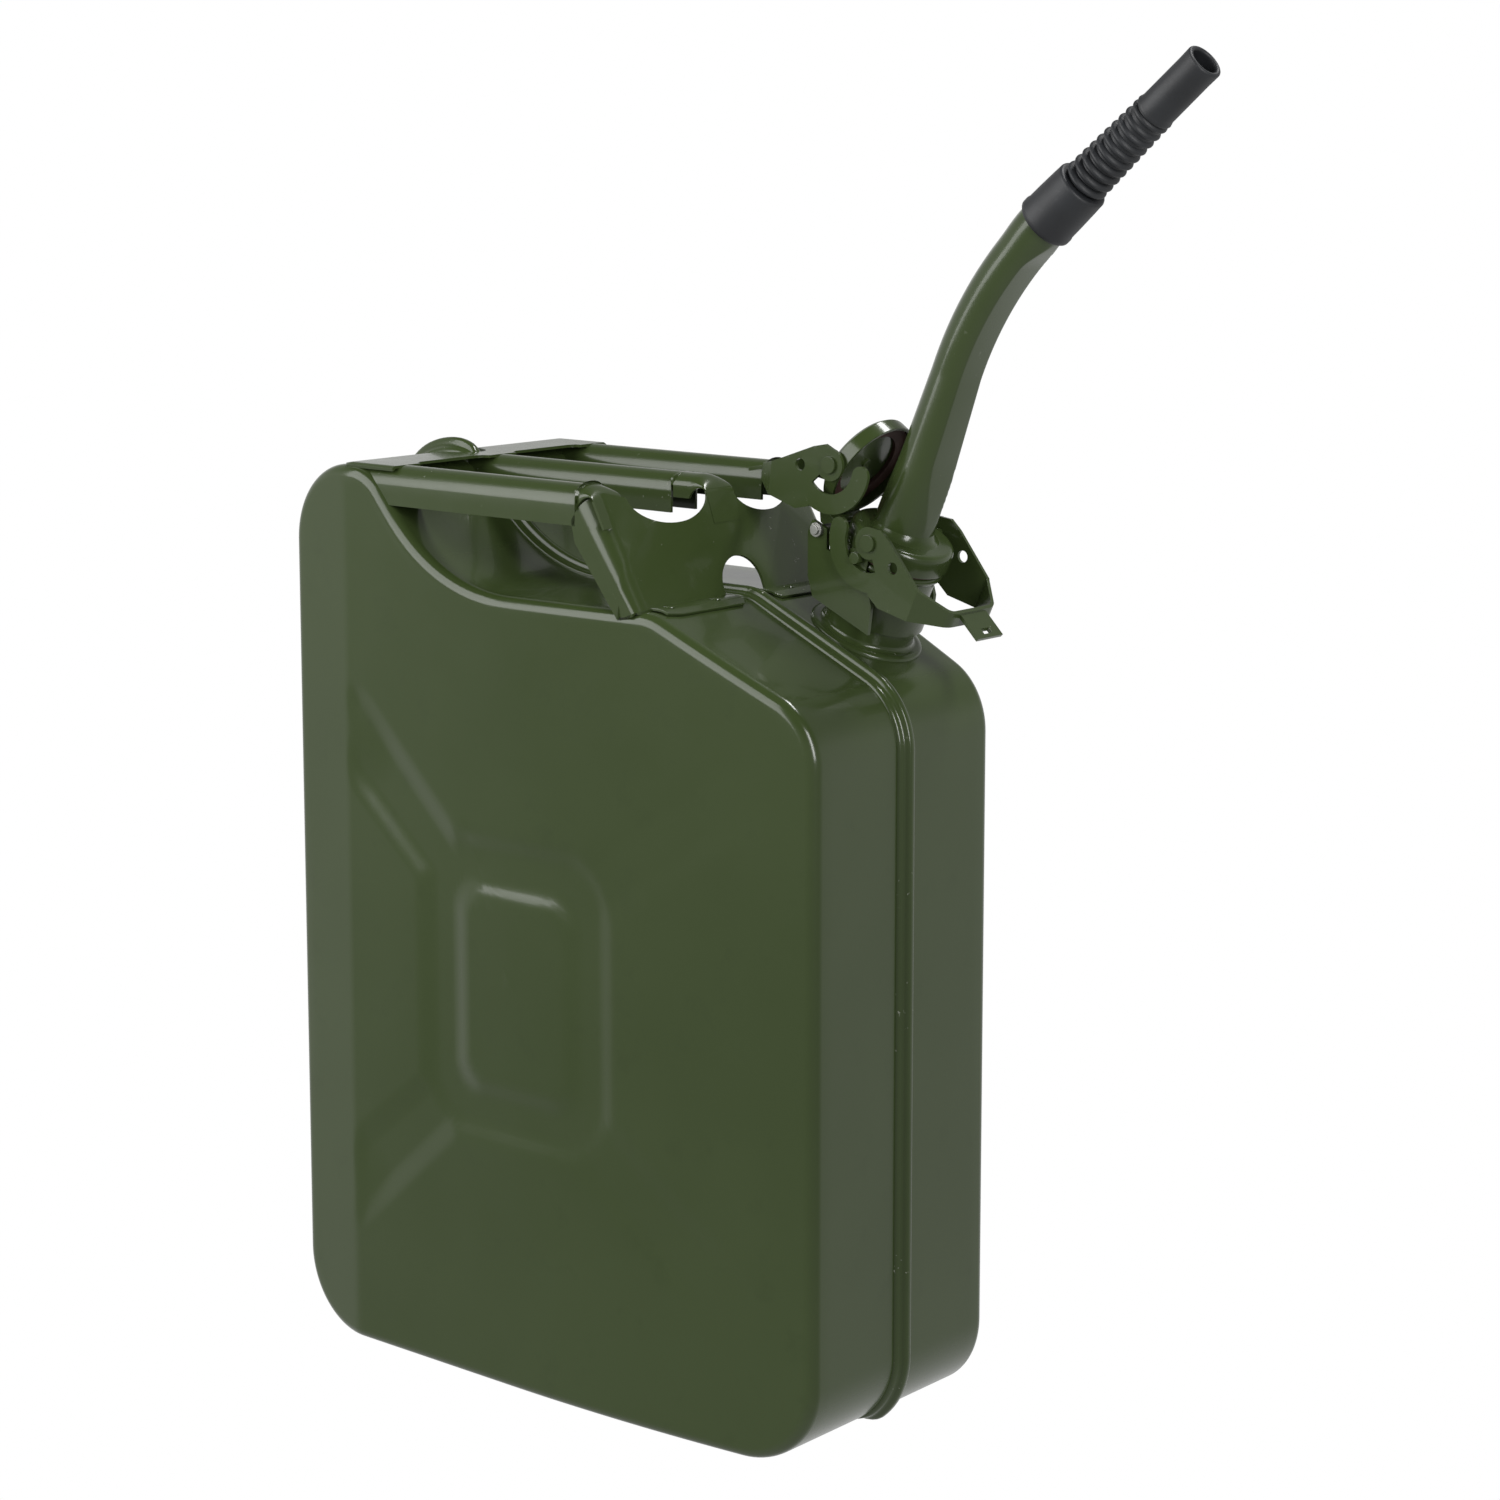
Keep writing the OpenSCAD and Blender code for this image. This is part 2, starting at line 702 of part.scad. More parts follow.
rib_r0 = 11.4;
rib_r1 = 10;
root_r = 8.6;
bellows_end = sleeve_l + bellows_l;
module nozzle_bellows() {
    pitch = bellows_l / rib_count;
    color(black) at_nozzle() difference() {
        union() {
            translate([0, 0, sleeve_l]) cylinder(r = root_r, h = bellows_l);
            for (i = [0:rib_count - 1]) let (r = rib_r0 + (rib_r1 - rib_r0) * i / (rib_count - 1))
                translate([0, 0, sleeve_l + (i + 0.5) * pitch]) {
                    translate([0, 0, -pitch * 0.36]) cylinder(r1 = root_r, r2 = r, h = pitch * 0.24);
                    translate([0, 0, -pitch * 0.12 - eps]) cylinder(r = r, h = pitch * 0.24 + 2 * eps);
                    translate([0, 0, pitch * 0.12]) cylinder(r1 = r, r2 = root_r, h = pitch * 0.24);
                }
        }
        cylinder(r = nozzle_bore, h = 200);
    }
}

module nozzle_outlet() {
    color(black) at_nozzle() translate([0, 0, bellows_end]) difference() {
        cylinder(r = outlet_r, h = outlet_l);
        translate([0, 0, -1]) cylinder(r = nozzle_bore, h = outlet_l + 2);
    }
}

shell_left();
shell_right();
seam();
carry_handle();
filler_neck();
neck_flange();
vent_tube();
closure_yoke();
yoke_lugs();
lid_hinge_pin();
lid_cap();
lid_gasket();
lid_retainer();
lid_hinge_arm();
lid_pivots();
lid_lever();
spout_base();
spout_gasket();
spout_pivots();
spout_lever();
spout_tube();
spout_bend();
breather_tube();
strainer();
nozzle_sleeve();
nozzle_bellows();
nozzle_outlet();
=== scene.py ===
"""Looks of the twenty litre jerry can with its clamped-on pouring spout."""

import json
import math

import bmesh
import bpy
from mathutils import Matrix, Vector, noise


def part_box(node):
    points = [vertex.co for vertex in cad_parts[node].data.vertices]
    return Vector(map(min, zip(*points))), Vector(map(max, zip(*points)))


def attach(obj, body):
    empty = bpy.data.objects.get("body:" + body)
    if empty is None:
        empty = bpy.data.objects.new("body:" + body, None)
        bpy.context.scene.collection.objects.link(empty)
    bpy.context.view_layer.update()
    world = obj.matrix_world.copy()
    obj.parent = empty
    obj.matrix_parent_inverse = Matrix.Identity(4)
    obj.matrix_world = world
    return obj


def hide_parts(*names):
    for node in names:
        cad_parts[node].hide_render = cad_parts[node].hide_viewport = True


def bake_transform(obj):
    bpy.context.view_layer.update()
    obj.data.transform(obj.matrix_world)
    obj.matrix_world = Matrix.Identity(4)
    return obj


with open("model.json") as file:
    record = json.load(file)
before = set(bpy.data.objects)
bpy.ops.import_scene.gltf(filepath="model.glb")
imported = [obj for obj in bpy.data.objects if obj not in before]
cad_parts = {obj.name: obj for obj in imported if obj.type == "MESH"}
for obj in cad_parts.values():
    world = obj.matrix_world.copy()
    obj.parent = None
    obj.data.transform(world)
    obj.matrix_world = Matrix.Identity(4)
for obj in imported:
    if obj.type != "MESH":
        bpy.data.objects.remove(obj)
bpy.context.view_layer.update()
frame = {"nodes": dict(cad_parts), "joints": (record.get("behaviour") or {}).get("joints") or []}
joints = {j["name"]: j for j in frame["joints"]}

MM = 0.001
MERGE = 1e-6  # points this close are one

# ---------------------------------------------------------------- sizes, in metres
shell_low, shell_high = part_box("shell_right")
half_length = shell_high.x
half_width = -shell_low.y
hump_z = shell_high.z
seam_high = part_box("seam")[1]
seam_half = seam_high.y
seam_proud = seam_high.x - half_length
handle_low, handle_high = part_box("carry_handle")
handle_half = handle_high.y

corner_r = 42 * MM
edge_r = 6 * MM
sheet_t = 1.2 * MM
floor_z = 411 * MM
slope_x = 78 * MM
slope_a = math.radians(24.4)
scoop_x = -18 * MM
scoop_r = 100 * MM
scoop_a = math.radians(50)
brow_r = 28 * MM
shoulder_r = 30 * MM
nose_r = 36 * MM
bow_x = -20 * MM
front_half = 68.5 * MM
fold_x = -130 * MM
fold_drop = 4.2 * MM

# The neck's own frame: x down the shoulder, z up the neck
pivot_in_neck = Vector((1.4 * MM, 0, 54.6 * MM))
tilt = Matrix.Rotation(slope_a, 4, "Y")
pivot = Vector(joints["spout_lever_pivot"]["pos_m"])
neck_frame = Matrix.Translation(pivot) @ tilt @ Matrix.Translation(-pivot_in_neck)
nozzle_bend = Vector(joints["nozzle_bend"]["pos_m"])


# ---------------------------------------------------------------- mesh helpers
def new_piece(name, verts, faces):
    """A mesh object in the shared frame."""
    mesh = bpy.data.meshes.new(name)
    mesh.from_pydata([tuple(v) for v in verts], [], faces)
    mesh.update()
    piece = bpy.data.objects.new(name, mesh)
    bpy.context.scene.collection.objects.link(piece)
    tidy(piece)
    return piece


def tidy(piece):
    """Merges doubles, turns faces outwards and sets smooth shading."""
    bm = bmesh.new()
    bm.from_mesh(piece.data)
    bmesh.ops.remove_doubles(bm, verts=bm.verts, dist=MERGE)
    bmesh.ops.dissolve_degenerate(bm, edges=bm.edges, dist=0.1 * MERGE)
    bmesh.ops.recalc_face_normals(bm, faces=bm.faces)
    for face in bm.faces:
        face.smooth = True
    bm.to_mesh(piece.data)
    bm.free()


def sharpen(piece, degrees):
    """Keeps creases above an angle sharp and the rest smooth."""
    bm = bmesh.new()
    bm.from_mesh(piece.data)
    for edge in bm.edges:
        edge.smooth = not (edge.is_manifold and edge.calc_face_angle(0) > math.radians(degrees))
    bm.to_mesh(piece.data)
    bm.free()


def apply_modifiers(piece):
    """Turns the evaluated object into a plain mesh and clears its modifiers."""
    depsgraph = bpy.context.evaluated_depsgraph_get()
    mesh = bpy.data.meshes.new_from_object(piece.evaluated_get(depsgraph))
    piece.modifiers.clear()
    piece.data = mesh


def bevel(piece, width, degrees):
    """Rounds the piece's sharp edges."""
    mod = piece.modifiers.new("round_edges", "BEVEL")
    mod.width = width
    mod.segments = 2
    mod.limit_method = "ANGLE"
    mod.angle_limit = math.radians(degrees)
    mod.harden_normals = False
    mod.use_clamp_overlap = True
    apply_modifiers(piece)
    for polygon in piece.data.polygons:
        polygon.use_smooth = True
    sharpen(piece, 40)
    mod = piece.modifiers.new("flat_faces", "WEIGHTED_NORMAL")
    mod.weight = 100
    mod.keep_sharp = True
    apply_modifiers(piece)


def thicken(piece, thickness):
    """Gives an open sheet its metal thickness, on the side away from its normals."""
    mod = piece.modifiers.new("sheet", "SOLIDIFY")
    mod.thickness = thickness
    mod.offset = -1
    mod.use_even_offset = False
    apply_modifiers(piece)


def ring_faces(count, ring_count, closed=True):
    """Quads between neighbouring rings of count points."""
    faces = []
    for k in range(ring_count - 1):
        for i in range(count if closed else count - 1):
            j = (i + 1) % count
            a, b = k * count, (k + 1) * count
            faces.append((a + i, a + j, b + j, b + i))
    return faces


def lathe(name, profile, place, steps):
    """Turns a closed (radius, height) outline round the local z axis."""
    verts = []
    for s in range(steps):
        turn = 2 * math.pi * s / steps
        for r, z in profile:
            verts.append(place @ Vector((r * math.cos(turn), r * math.sin(turn), z)))
    n = len(profile)
    faces = []
    for s in range(steps):
        a, b = s * n, ((s + 1) % steps) * n
        for i in range(n):
            j = (i + 1) % n
            faces.append((a + i, a + j, b + j, b + i))
    piece = new_piece(name, verts, faces)
    sharpen(piece, 50)
    return piece


def arc(cx, cz, r, start, end, count):
    """Points on an arc, angles in degrees."""
    return [
        (cx + r * math.cos(math.radians(a)), cz + r * math.sin(math.radians(a)))
        for a in (start + (end - start) * i / count for i in range(count + 1))
    ]


def smoothstep(a, b, x):
    """Smooth ramp from 0 at a to 1 at b."""
    t = min(1.0, max(0.0, (x - a) / (b - a)))
    return t * t * (3 - 2 * t)


# ---------------------------------------------------------------- side view of the can
def side_outline():
    """The can's side view as (x, z), anticlockwise from the rear bottom corner."""
    scoop_end_x = scoop_x - scoop_r * math.sin(scoop_a)
    scoop_end_z = floor_z + scoop_r * (1 - math.cos(scoop_a))
    brow_z = hump_z - brow_r * (1 - math.cos(scoop_a))
    brow_x = scoop_end_x - (brow_z - scoop_end_z) / math.tan(scoop_a) - brow_r * math.sin(scoop_a)
    nose_x = half_length - nose_r
    nose_z = floor_z - (nose_x - slope_x) * math.tan(slope_a) - nose_r / math.cos(slope_a)
    bend_x = slope_x - shoulder_r * math.tan(slope_a / 2)
    lean = math.degrees(slope_a)
    steep = math.degrees(scoop_a)
    points = []
    points += arc(-half_length + corner_r, corner_r, corner_r, 180, 270, 24)
    points += arc(half_length - corner_r, corner_r, corner_r, 270, 360, 24)
    points += arc(nose_x, nose_z, nose_r, 0, 90 - lean, 18)
    points += arc(bend_x, floor_z - shoulder_r, shoulder_r, 90 - lean, 90, 8)
    points += arc(scoop_x, floor_z + scoop_r, scoop_r, 270, 270 - steep, 24)
    points += arc(brow_x, hump_z - brow_r, brow_r, 90 - steep, 90, 12)
    points += arc(-half_length + corner_r, hump_z - corner_r, corner_r, 90, 180, 24)
    return points


def resample(points, step):
    """Evenly spaced points along a closed outline, keeping its corners' shape."""
    out = []
    n = len(points)
    for i in range(n):
        a, b = Vector(points[i]), Vector(points[(i + 1) % n])
        length = (b - a).length
        if length < 1e-7:
            continue
        parts = max(1, round(length / step))
        out += [a.lerp(b, k / parts) for k in range(parts)]
    return out


def outward(points):
    """Unit outward direction at each point of an anticlockwise outline."""
    n = len(points)
    out = []
    for i in range(n):
        d = points[(i + 1) % n] - points[i - 1]
        out.append(Vector((d.y, -d.x)).normalized())
    return out


# ---------------------------------------------------------------- pressed pattern
def box_distance(x, z, cx, cz, hx, hz, r):
    """Signed distance to a rounded rectangle."""
    dx, dz = abs(x - cx) - hx + r, abs(z - cz) - hz + r
    return math.hypot(max(dx, 0), max(dz, 0)) + min(max(dx, dz), 0) - r


def bar_distance(x, z, ax, az, bx, bz, ra, rb):
    """Signed distance to a bar whose half width goes from ra to rb."""
    px, pz, dx, dz = x - ax, z - az, bx - ax, bz - az
    t = min(1, max(0, (px * dx + pz * dz) / (dx * dx + dz * dz)))
    return math.hypot(px - dx * t, pz - dz * t) - (ra + (rb - ra) * t)


# The pressed pattern, in millimetres
ARMS = (
    # start x, z, end x, z, half width at start and end, depth as a share of the ring's
    (-52, 262, -128, 332, 16, 19, 1.0),
    (-54, 152, -136, 82, 15, 18, 0.75),
    (30, 262, 128, 330, 17, 17, 0.22),
    (30, 150, 122, 78, 17, 17, 0.35),
)


# Centre x and z, half width, half height and corner radius
RING_BOX = (-12, 208.5, 62.5, 76.5, 26)
PANEL_BOX = (-11, 208, 41.5, 55, 18)


def press_depth(x, z):
    """How far the face is pressed in at a place, from 0 to 1."""
    x, z = x / MM, z / MM
    ring = box_distance(x, z, *RING_BOX)
    panel = box_distance(x, z, *PANEL_BOX)
    depth = (1 - smoothstep(-7, 6, ring)) * (1 - 0.35 * smoothstep(0, 50, x))
    for ax, az, bx, bz, ra, rb, strength in ARMS:
        arm = bar_distance(x, z, ax, az, bx, bz, ra, rb)
        along = math.hypot(x - bx, z - bz) / math.hypot(ax - bx, az - bz)
        fade = strength * smoothstep(-0.05, 0.35, along)
        depth = max(depth, fade * (1 - smoothstep(-9, 6, arm)))
    return depth * smoothstep(-9, 3, panel) * smoothstep(fold_x / MM - 1, fold_x / MM + 9, x)


PRESS = 2.1 * MM  # depth of the pressed ring
DENT = 0.35 * MM  # height of the sheet's slow unevenness
DENT_RATE = 9  # its waves per metre


def face_y(x):
    """Distance of a large face from the seam plane."""
    bow = (half_length - bow_x) ** 2 / (2 * (half_width - front_half))
    inward = (x - bow_x) ** 2 / (2 * bow) if x > bow_x else 0
    if x < fold_x:
        inward += fold_drop * (fold_x - x) / (half_length + fold_x)
    return half_width - inward


def dent(x, z):
    """Slow unevenness of the sheet."""
    return DENT * noise.noise(Vector((x * DENT_RATE, 3.7, z * DENT_RATE)))


# ---------------------------------------------------------------- body shells
def half_shell(name, side, node):
    """One pressed shell, with rolled edges, a pressed pattern and its inner wall."""
    outline = resample(side_outline(), 3.4 * MM)
    out = outward(outline)
    n = len(outline)
    centre = Vector((-15 * MM, 215 * MM))
    verts, rings = [], 0
    edge_rings, roll_rings, face_rings = 8, 10, 62
    hollow = 5 * MM

    def ring(inset, depth, share=1.0, pressed=0.0, back=0.0):
        """One ring: inset from the rim, raised by depth, and shrunk towards the middle."""
        nonlocal rings
        for p, d in zip(outline, out):
            q = p - d * inset
            q = centre + (q - centre) * share
            y = face_y(q.x) - edge_r + depth
            if pressed:
                y -= pressed * (PRESS * press_depth(q.x, q.y) + dent(q.x, q.y))
            verts.append(Vector((q.x, side * (y - back), q.y)))
        rings += 1

    def rim(inset, share):
        """A ring on the rim, part of the way from the seam to the rolled edge."""
        nonlocal rings
        for p, d in zip(outline, out):
            q = p - d * inset
            verts.append(Vector((q.x, side * share * (face_y(q.x) - edge_r), q.y)))
        rings += 1

    for k in range(edge_rings + 1):
        rim(0, k / edge_rings)
    for k in range(1, roll_rings + 1):
        a = math.pi / 2 * k / roll_rings
        ring(edge_r * (1 - math.cos(a)), edge_r * math.sin(a))
    for k in range(1, face_rings):
        share = 1 - k / face_rings
        ring(edge_r, edge_r, share, smoothstep(0, 0.03, 1 - share))
    outer = rings
    for share in (0.03, 0.3, 0.6, 0.9, 1.0):
        ring(edge_r + 2 * sheet_t, edge_r, share, 0, hollow)
    rim(sheet_t, 0.97)
    rim(sheet_t, 0.5)
    rim(sheet_t, 0)
    faces = ring_faces(n, outer)
    faces += [tuple(i + outer * n for i in f) for f in ring_faces(n, rings - outer)]
    last = (rings - 1) * n
    for i in range(n):
        j = (i + 1) % n
        faces.append((last + i, last + j, j, i))
    for start, back in (((outer - 1) * n, 0), (outer * n, hollow)):
        pole = len(verts)
        y = face_y(centre.x) - back
        verts.append(Vector((centre.x, side * y, centre.y)))
        for i in range(n):
            faces.append((start + i, start + (i + 1) % n, pole))
    piece = new_piece(name, verts, faces)
    sharpen(piece, 60)
    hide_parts(node)
    finish_piece(piece, "can", enamel_body)


def seam_height(x, z):
    """How far the seam stands proud, most of all over the rear dome."""
    rear_dome = smoothstep(-112, -130, x / MM) * smoothstep(445, 466, z / MM)
    return seam_proud * (1 + 0.6 * rear_dome)


def seam_bead():
    """The rolled and welded seam, swept round the side view."""
    step, fade = 3 * MM, 12 * MM
    outline = resample(side_outline(), step)
    out = outward(outline)
    profile = [(-1, 0), (-0.97, 0.16), (-0.86, 0.3), (-0.7, 0.38), (-0.5, 0.44)]
    profile += [(-0.42, 0.62), (-0.34, 0.84), (-0.2, 0.97), (0, 1)]
    profile += [(-y, h) for y, h in reversed(profile[:-1])]
    runs, run = [], []
    for p, d in zip(outline, out):
        under_plate = -112 * MM < p.x < -97 * MM and p.y > 440 * MM
        if under_plate or p.y + seam_proud * d.y < -0.2 * seam_proud:
            if run:
                runs.append(run)
            run = []
        else:
            run.append((p, d))
    if run:
        runs.append(run)
    if len(runs) > 2 and (runs[0][0][0] - runs[-1][-1][0]).length < 6 * MM:
        runs[0] = runs.pop() + runs[0]
    for number, run in enumerate(runs):
        verts = []
        count = len(run)
        for i, (p, d) in enumerate(run):
            ends = min(i, count - 1 - i) * step
            rise = seam_height(p.x, p.y) * (0.1 + 0.9 * math.sqrt(smoothstep(0, fade, ends)))
            for y, h in profile:
                q = p + d * (h * rise)
                verts.append(Vector((q.x, y * seam_half, max(0, q.y))))
        faces = ring_faces(len(profile), count, closed=False)
        bottoms = [i * len(profile) for i in range(count)]
        for a, b in zip(bottoms, bottoms[1:]):
            top = len(profile) - 1
            faces.append((a + top, a, b, b + top))
        faces.append(tuple(range(len(profile))))
        faces.append(tuple((count - 1) * len(profile) + i for i in reversed(range(len(profile)))))
        piece = new_piece("seam_bead_%d" % (number + 1), verts, faces)
        sharpen(piece, 60)
        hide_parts("seam")
        finish_piece(piece, "can", enamel_seam)


# ---------------------------------------------------------------- carrying handle
bar_pitch = 70 * MM
bar_half = 10 * MM
plate_t = 1.5 * MM
plate_back = handle_low.x
window_back = -100 * MM
web_top = Vector((48 * MM, handle_high.z))
web_foot = Vector((72 * MM, floor_z + 1 * MM))
web_lean = math.atan2(web_foot.x - web_top.x, web_top.y - web_foot.y)
bar_bend_r = 13 * MM
slit_x = 31 * MM
neck_depth = 0.6
web_forward = 4 * MM  # how far the web stands forward in the middle
web_bow = 14 * MM  # and how far back its corners are from there


def web_line(y):
    """The bowed web's top point and lean, at a distance from the seam plane."""
    top = web_top + Vector((web_forward - web_bow * (y / handle_half) ** 2, 0))
    return top, math.atan2(web_foot.x - top.x, top.y - web_foot.y)


def bar_path(y0):
    """Stations along a bar's top line: place, outward normal, and how deep its sides are."""
    stations = []
    top = handle_high.z
    front, lean = web_line(y0)
    bend_x = front.x - 9 * MM
    start, count, turns = -121 * MM, 40, 14
    slit_end = slit_x + 1.6 * MM
    xs = [(start + (slit_x - start) * k / count, 1) for k in range(count + 1)]
    xs += [(slit_x + 0.15 * MM, 0.3), (slit_end - 0.15 * MM, 0.3), (slit_end, neck_depth)]
    xs += [(slit_end + (bend_x - slit_end) * k / 6, neck_depth) for k in range(1, 6)]
    for x, deep in xs:
        stations.append((Vector((x, top)), Vector((0, 1)), deep))
    turn = math.pi / 2 - lean
    for k in range(turns + 1):
        a = turn * k / turns
        place = Vector((bend_x + bar_bend_r * math.sin(a), top - bar_bend_r * (1 - math.cos(a))))
        deep = neck_depth * (1 - smoothstep(0.0, 1, k / turns))
        stations.append((place, Vector((math.sin(a), math.cos(a))), deep))
    down = Vector((math.sin(lean), -math.cos(lean)))
    normal = Vector((math.sin(turn), math.cos(turn)))
    for k in range(1, 6):
        stations.append((place + down * (3 * MM * k), normal, 0))
    return stations


def carry_bar(name, y0):
    """One round-topped bar that flattens into the rear plate and the front web."""
    depth = 20 * MM
    section = [(-1.0, -depth), (-1.0, -0.75 * depth)]
    for i in range(13):
        a = math.radians(15 * i)
        section += [(-math.cos(a), bar_half * (math.sin(a) - 1))]
    section += [(1.0, -0.75 * depth), (1.0, -depth)]
    verts = []
    stations = bar_path(y0)
    for place, normal, deep in stations:
        for y, h in section:
            q = place + normal * (h * deep - 0.1 * MM)
            verts.append(Vector((q.x, y0 + y * bar_half, q.y)))
    piece = new_piece(name, verts, ring_faces(len(section), len(stations), closed=False))
    thicken(piece, plate_t)
    tidy(piece)
    bevel(piece, 0.35 * MM, 50)
    finish_piece(piece, "can", enamel_parts)


def bent_sheet(name, outline, place, cuts_u=(), cuts_v=()):
    """A flat outline in (u, v), divided at the cuts and laid where place(u, v) says."""
    bm = bmesh.new()
    face = bm.faces.new([bm.verts.new((u, v, 0)) for u, v in outline])
    bmesh.ops.triangulate(bm, faces=[face])
    for at, normal in [(u, (1, 0, 0)) for u in cuts_u] + [(v, (0, 1, 0)) for v in cuts_v]:
        spot = Vector(normal) * at
        geometry = bm.verts[:] + bm.edges[:] + bm.faces[:]
        bmesh.ops.bisect_plane(bm, geom=geometry, dist=1e-6, plane_co=spot, plane_no=normal)
    for vert in bm.verts:
        vert.co = place(vert.co.x, vert.co.y)
    bmesh.ops.recalc_face_normals(bm, faces=bm.faces)
    mesh = bpy.data.meshes.new(name)
    bm.to_mesh(mesh)
    bm.free()
    piece = bpy.data.objects.new(name, mesh)
    bpy.context.scene.collection.objects.link(piece)
    return piece


def rear_plate():
    """The plate on the rear hump, scalloped round the seam's dome and between the bars."""
    dome_half, dome_deep, front, corner = 13 * MM, 21 * MM, window_back, 5 * MM
    outline = [(-handle_half, plate_back + 3 * MM), (-handle_half + 3 * MM, plate_back)]
    outline += [(dome_half * c, plate_back + dome_deep * d) for c, d in arc(0, 0, 1, 180, 0, 24)]
    outline += [(handle_half - 3 * MM, plate_back), (handle_half, plate_back + 3 * MM)]
    outline += [(handle_half, front + 4 * MM)]
    for s in (1, -1):
        near = bar_pitch - bar_half if s > 0 else -bar_half
        far = near - (bar_pitch - 2 * bar_half)
        outline += [(near, front + 4 * MM), (near - 1 * MM, front + 1 * MM)]
        outline += [(near - corner, front - 1 * MM), (far + corner, front - 1 * MM)]
        outline += [(far + 1 * MM, front + 1 * MM), (far, front + 4 * MM)]
    outline += [(-handle_half, front + 4 * MM)]
    top = handle_high.z

    def place(u, v):
        """Flat on the hump, with the outer edges turned down a little."""
        drop = 1.2 * MM * smoothstep(handle_half - 3 * MM, handle_half, abs(u)) ** 2
        rear = 0.8 * MM * smoothstep(plate_back + 5 * MM, plate_back, v)
        return Vector((v, u, top - drop - rear - 0.05 * MM))

    cuts = [s * (handle_half - k * MM) for s in (-1, 1) for k in (0.5, 1.2, 2, 3, 4)]
    rear_cuts = [plate_back + k * MM for k in (1, 2, 3.5, 5)]
    piece = bent_sheet("handle_plate", outline, place, cuts, rear_cuts)
    thicken_down(piece)
    return finish_piece(piece, "can", enamel_parts)


def thicken_down(piece):
    """Thickens a sheet away from its upper or front side, then rounds its edges."""
    bm = bmesh.new()
    bm.from_mesh(piece.data)
    total = sum((f.normal * f.calc_area() for f in bm.faces), Vector())
    if total.z + total.x < 0:
        bmesh.ops.reverse_faces(bm, faces=bm.faces)
    bm.to_mesh(piece.data)
    bm.free()
    thicken(piece, plate_t)
    bevel(piece, 0.4 * MM, 45)


def front_web():
    """The web under the bars' front ends: scalloped above, arched over the seam, flanged."""
    length = (web_foot - web_top).length
    out = Vector((math.cos(web_lean), math.sin(web_lean)))
    bend = 8 * MM
    flat = handle_half - bend
    wide = flat + 28 * MM
    gap = bar_pitch / 2 - bar_half + 0.5 * MM
    top = 10 * MM
    outline = [(-wide, length + 2 * MM), (-wide, 22 * MM), (-wide + 6 * MM, 12 * MM)]
    outline += [(-flat - 9 * MM, 6 * MM), (-flat, 4 * MM)]
    for mid in (-bar_pitch / 2, bar_pitch / 2):
        outline += [(mid - gap - 1 * MM, top - 3 * MM)]
        outline += [(mid + gap * x, top - 2 * MM + 14 * MM * y) for x, y in arc(0, 0, 1, 180, 0, 24)]
        outline += [(mid + gap + 1 * MM, top - 3 * MM)]
    outline += [(flat, 4 * MM), (flat + 9 * MM, 6 * MM)]
    outline += [(wide - 6 * MM, 12 * MM), (wide, 22 * MM), (wide, length + 2 * MM)]
    arch_r, arch_top = 15 * MM, length - 20 * MM
    outline += [(arch_r, length + 2 * MM)]
    outline += arc(0, arch_top + arch_r, arch_r, 0, -180, 24)
    outline += [(-arch_r, length + 2 * MM)]

    def place(u, v):
        """Bends the flanges back and the foot forwards."""
        side = 1 if u > 0 else -1
        run = abs(u) - flat
        y, back = abs(u), 0.0
        if run > 0:
            fall = max(0, min(1, v / length))
            share = run / (wide - flat)
            turn = min(share * math.pi, math.pi / 2)
            y = flat + bend * math.sin(turn)
            back = (12 - 7 * fall) * MM * (1 - math.cos(turn))
            back += max(0, share - 0.5) * (24 - 5 * fall) * MM
        fall = min(1, v / length)
        q = web_line(y)[0].lerp(web_foot, fall) - out * back
        return Vector((q.x, side * y, q.y))

    cuts = [s * (flat + (wide - flat) / 2 * k / 8) for s in (-1, 1) for k in range(9)]
    cuts += [k * 8 * MM for k in range(-8, 9)]
    piece = bent_sheet("handle_web", outline, place, cuts, [length])
    thicken_down(piece)
    finish_piece(piece, "can", enamel_parts)


def web_feet():
    """The two feet of the web, lying on the shoulder either side of the seam."""
    lift = 0.3 * MM
    for side, name in ((1, "left"), (-1, "right")):
        wide = face_y(web_foot.x)
        outline = [(12 * MM, 0), (wide - 8 * MM, 0), (wide - 10 * MM, 13 * MM)]
        outline += [(60 * MM, 15 * MM), (15 * MM, 15 * MM), (12 * MM, 12 * MM)]

        def place(u, v):
            """Flat on the shoulder, then down its slope."""
            x = web_foot.x - 3 * MM + v
            z = floor_z - max(0, x - slope_x) * math.tan(slope_a)
            return Vector((x, side * u, z + lift + plate_t))

        cuts = [10 * MM, 7 * MM, 11 * MM]
        piece = bent_sheet("handle_foot_" + name, outline, place, (), cuts)
        thicken_down(piece)
        finish_piece(piece, "can", enamel_parts)
        for k, y in enumerate((28, 62)):
            weld_spot(side * y * MM, name + str(k))


def weld_spot(y, label):
    """A spot weld on the foot: a shallow dimpled disc."""
    x = web_foot.x + 4 * MM
    place = Matrix.Translation((x, y, floor_z + plate_t + 0.1 * MM))
    profile = [(0, 0), (3 * MM, 0), (2.7 * MM, 0.35 * MM), (1.8 * MM, 0.5 * MM)]
    profile += [(0.9 * MM, 0.25 * MM), (0, 0.2 * MM)]
    piece = lathe("weld_spot_" + label, profile, place, 24)
    finish_piece(piece, "can", enamel_parts)


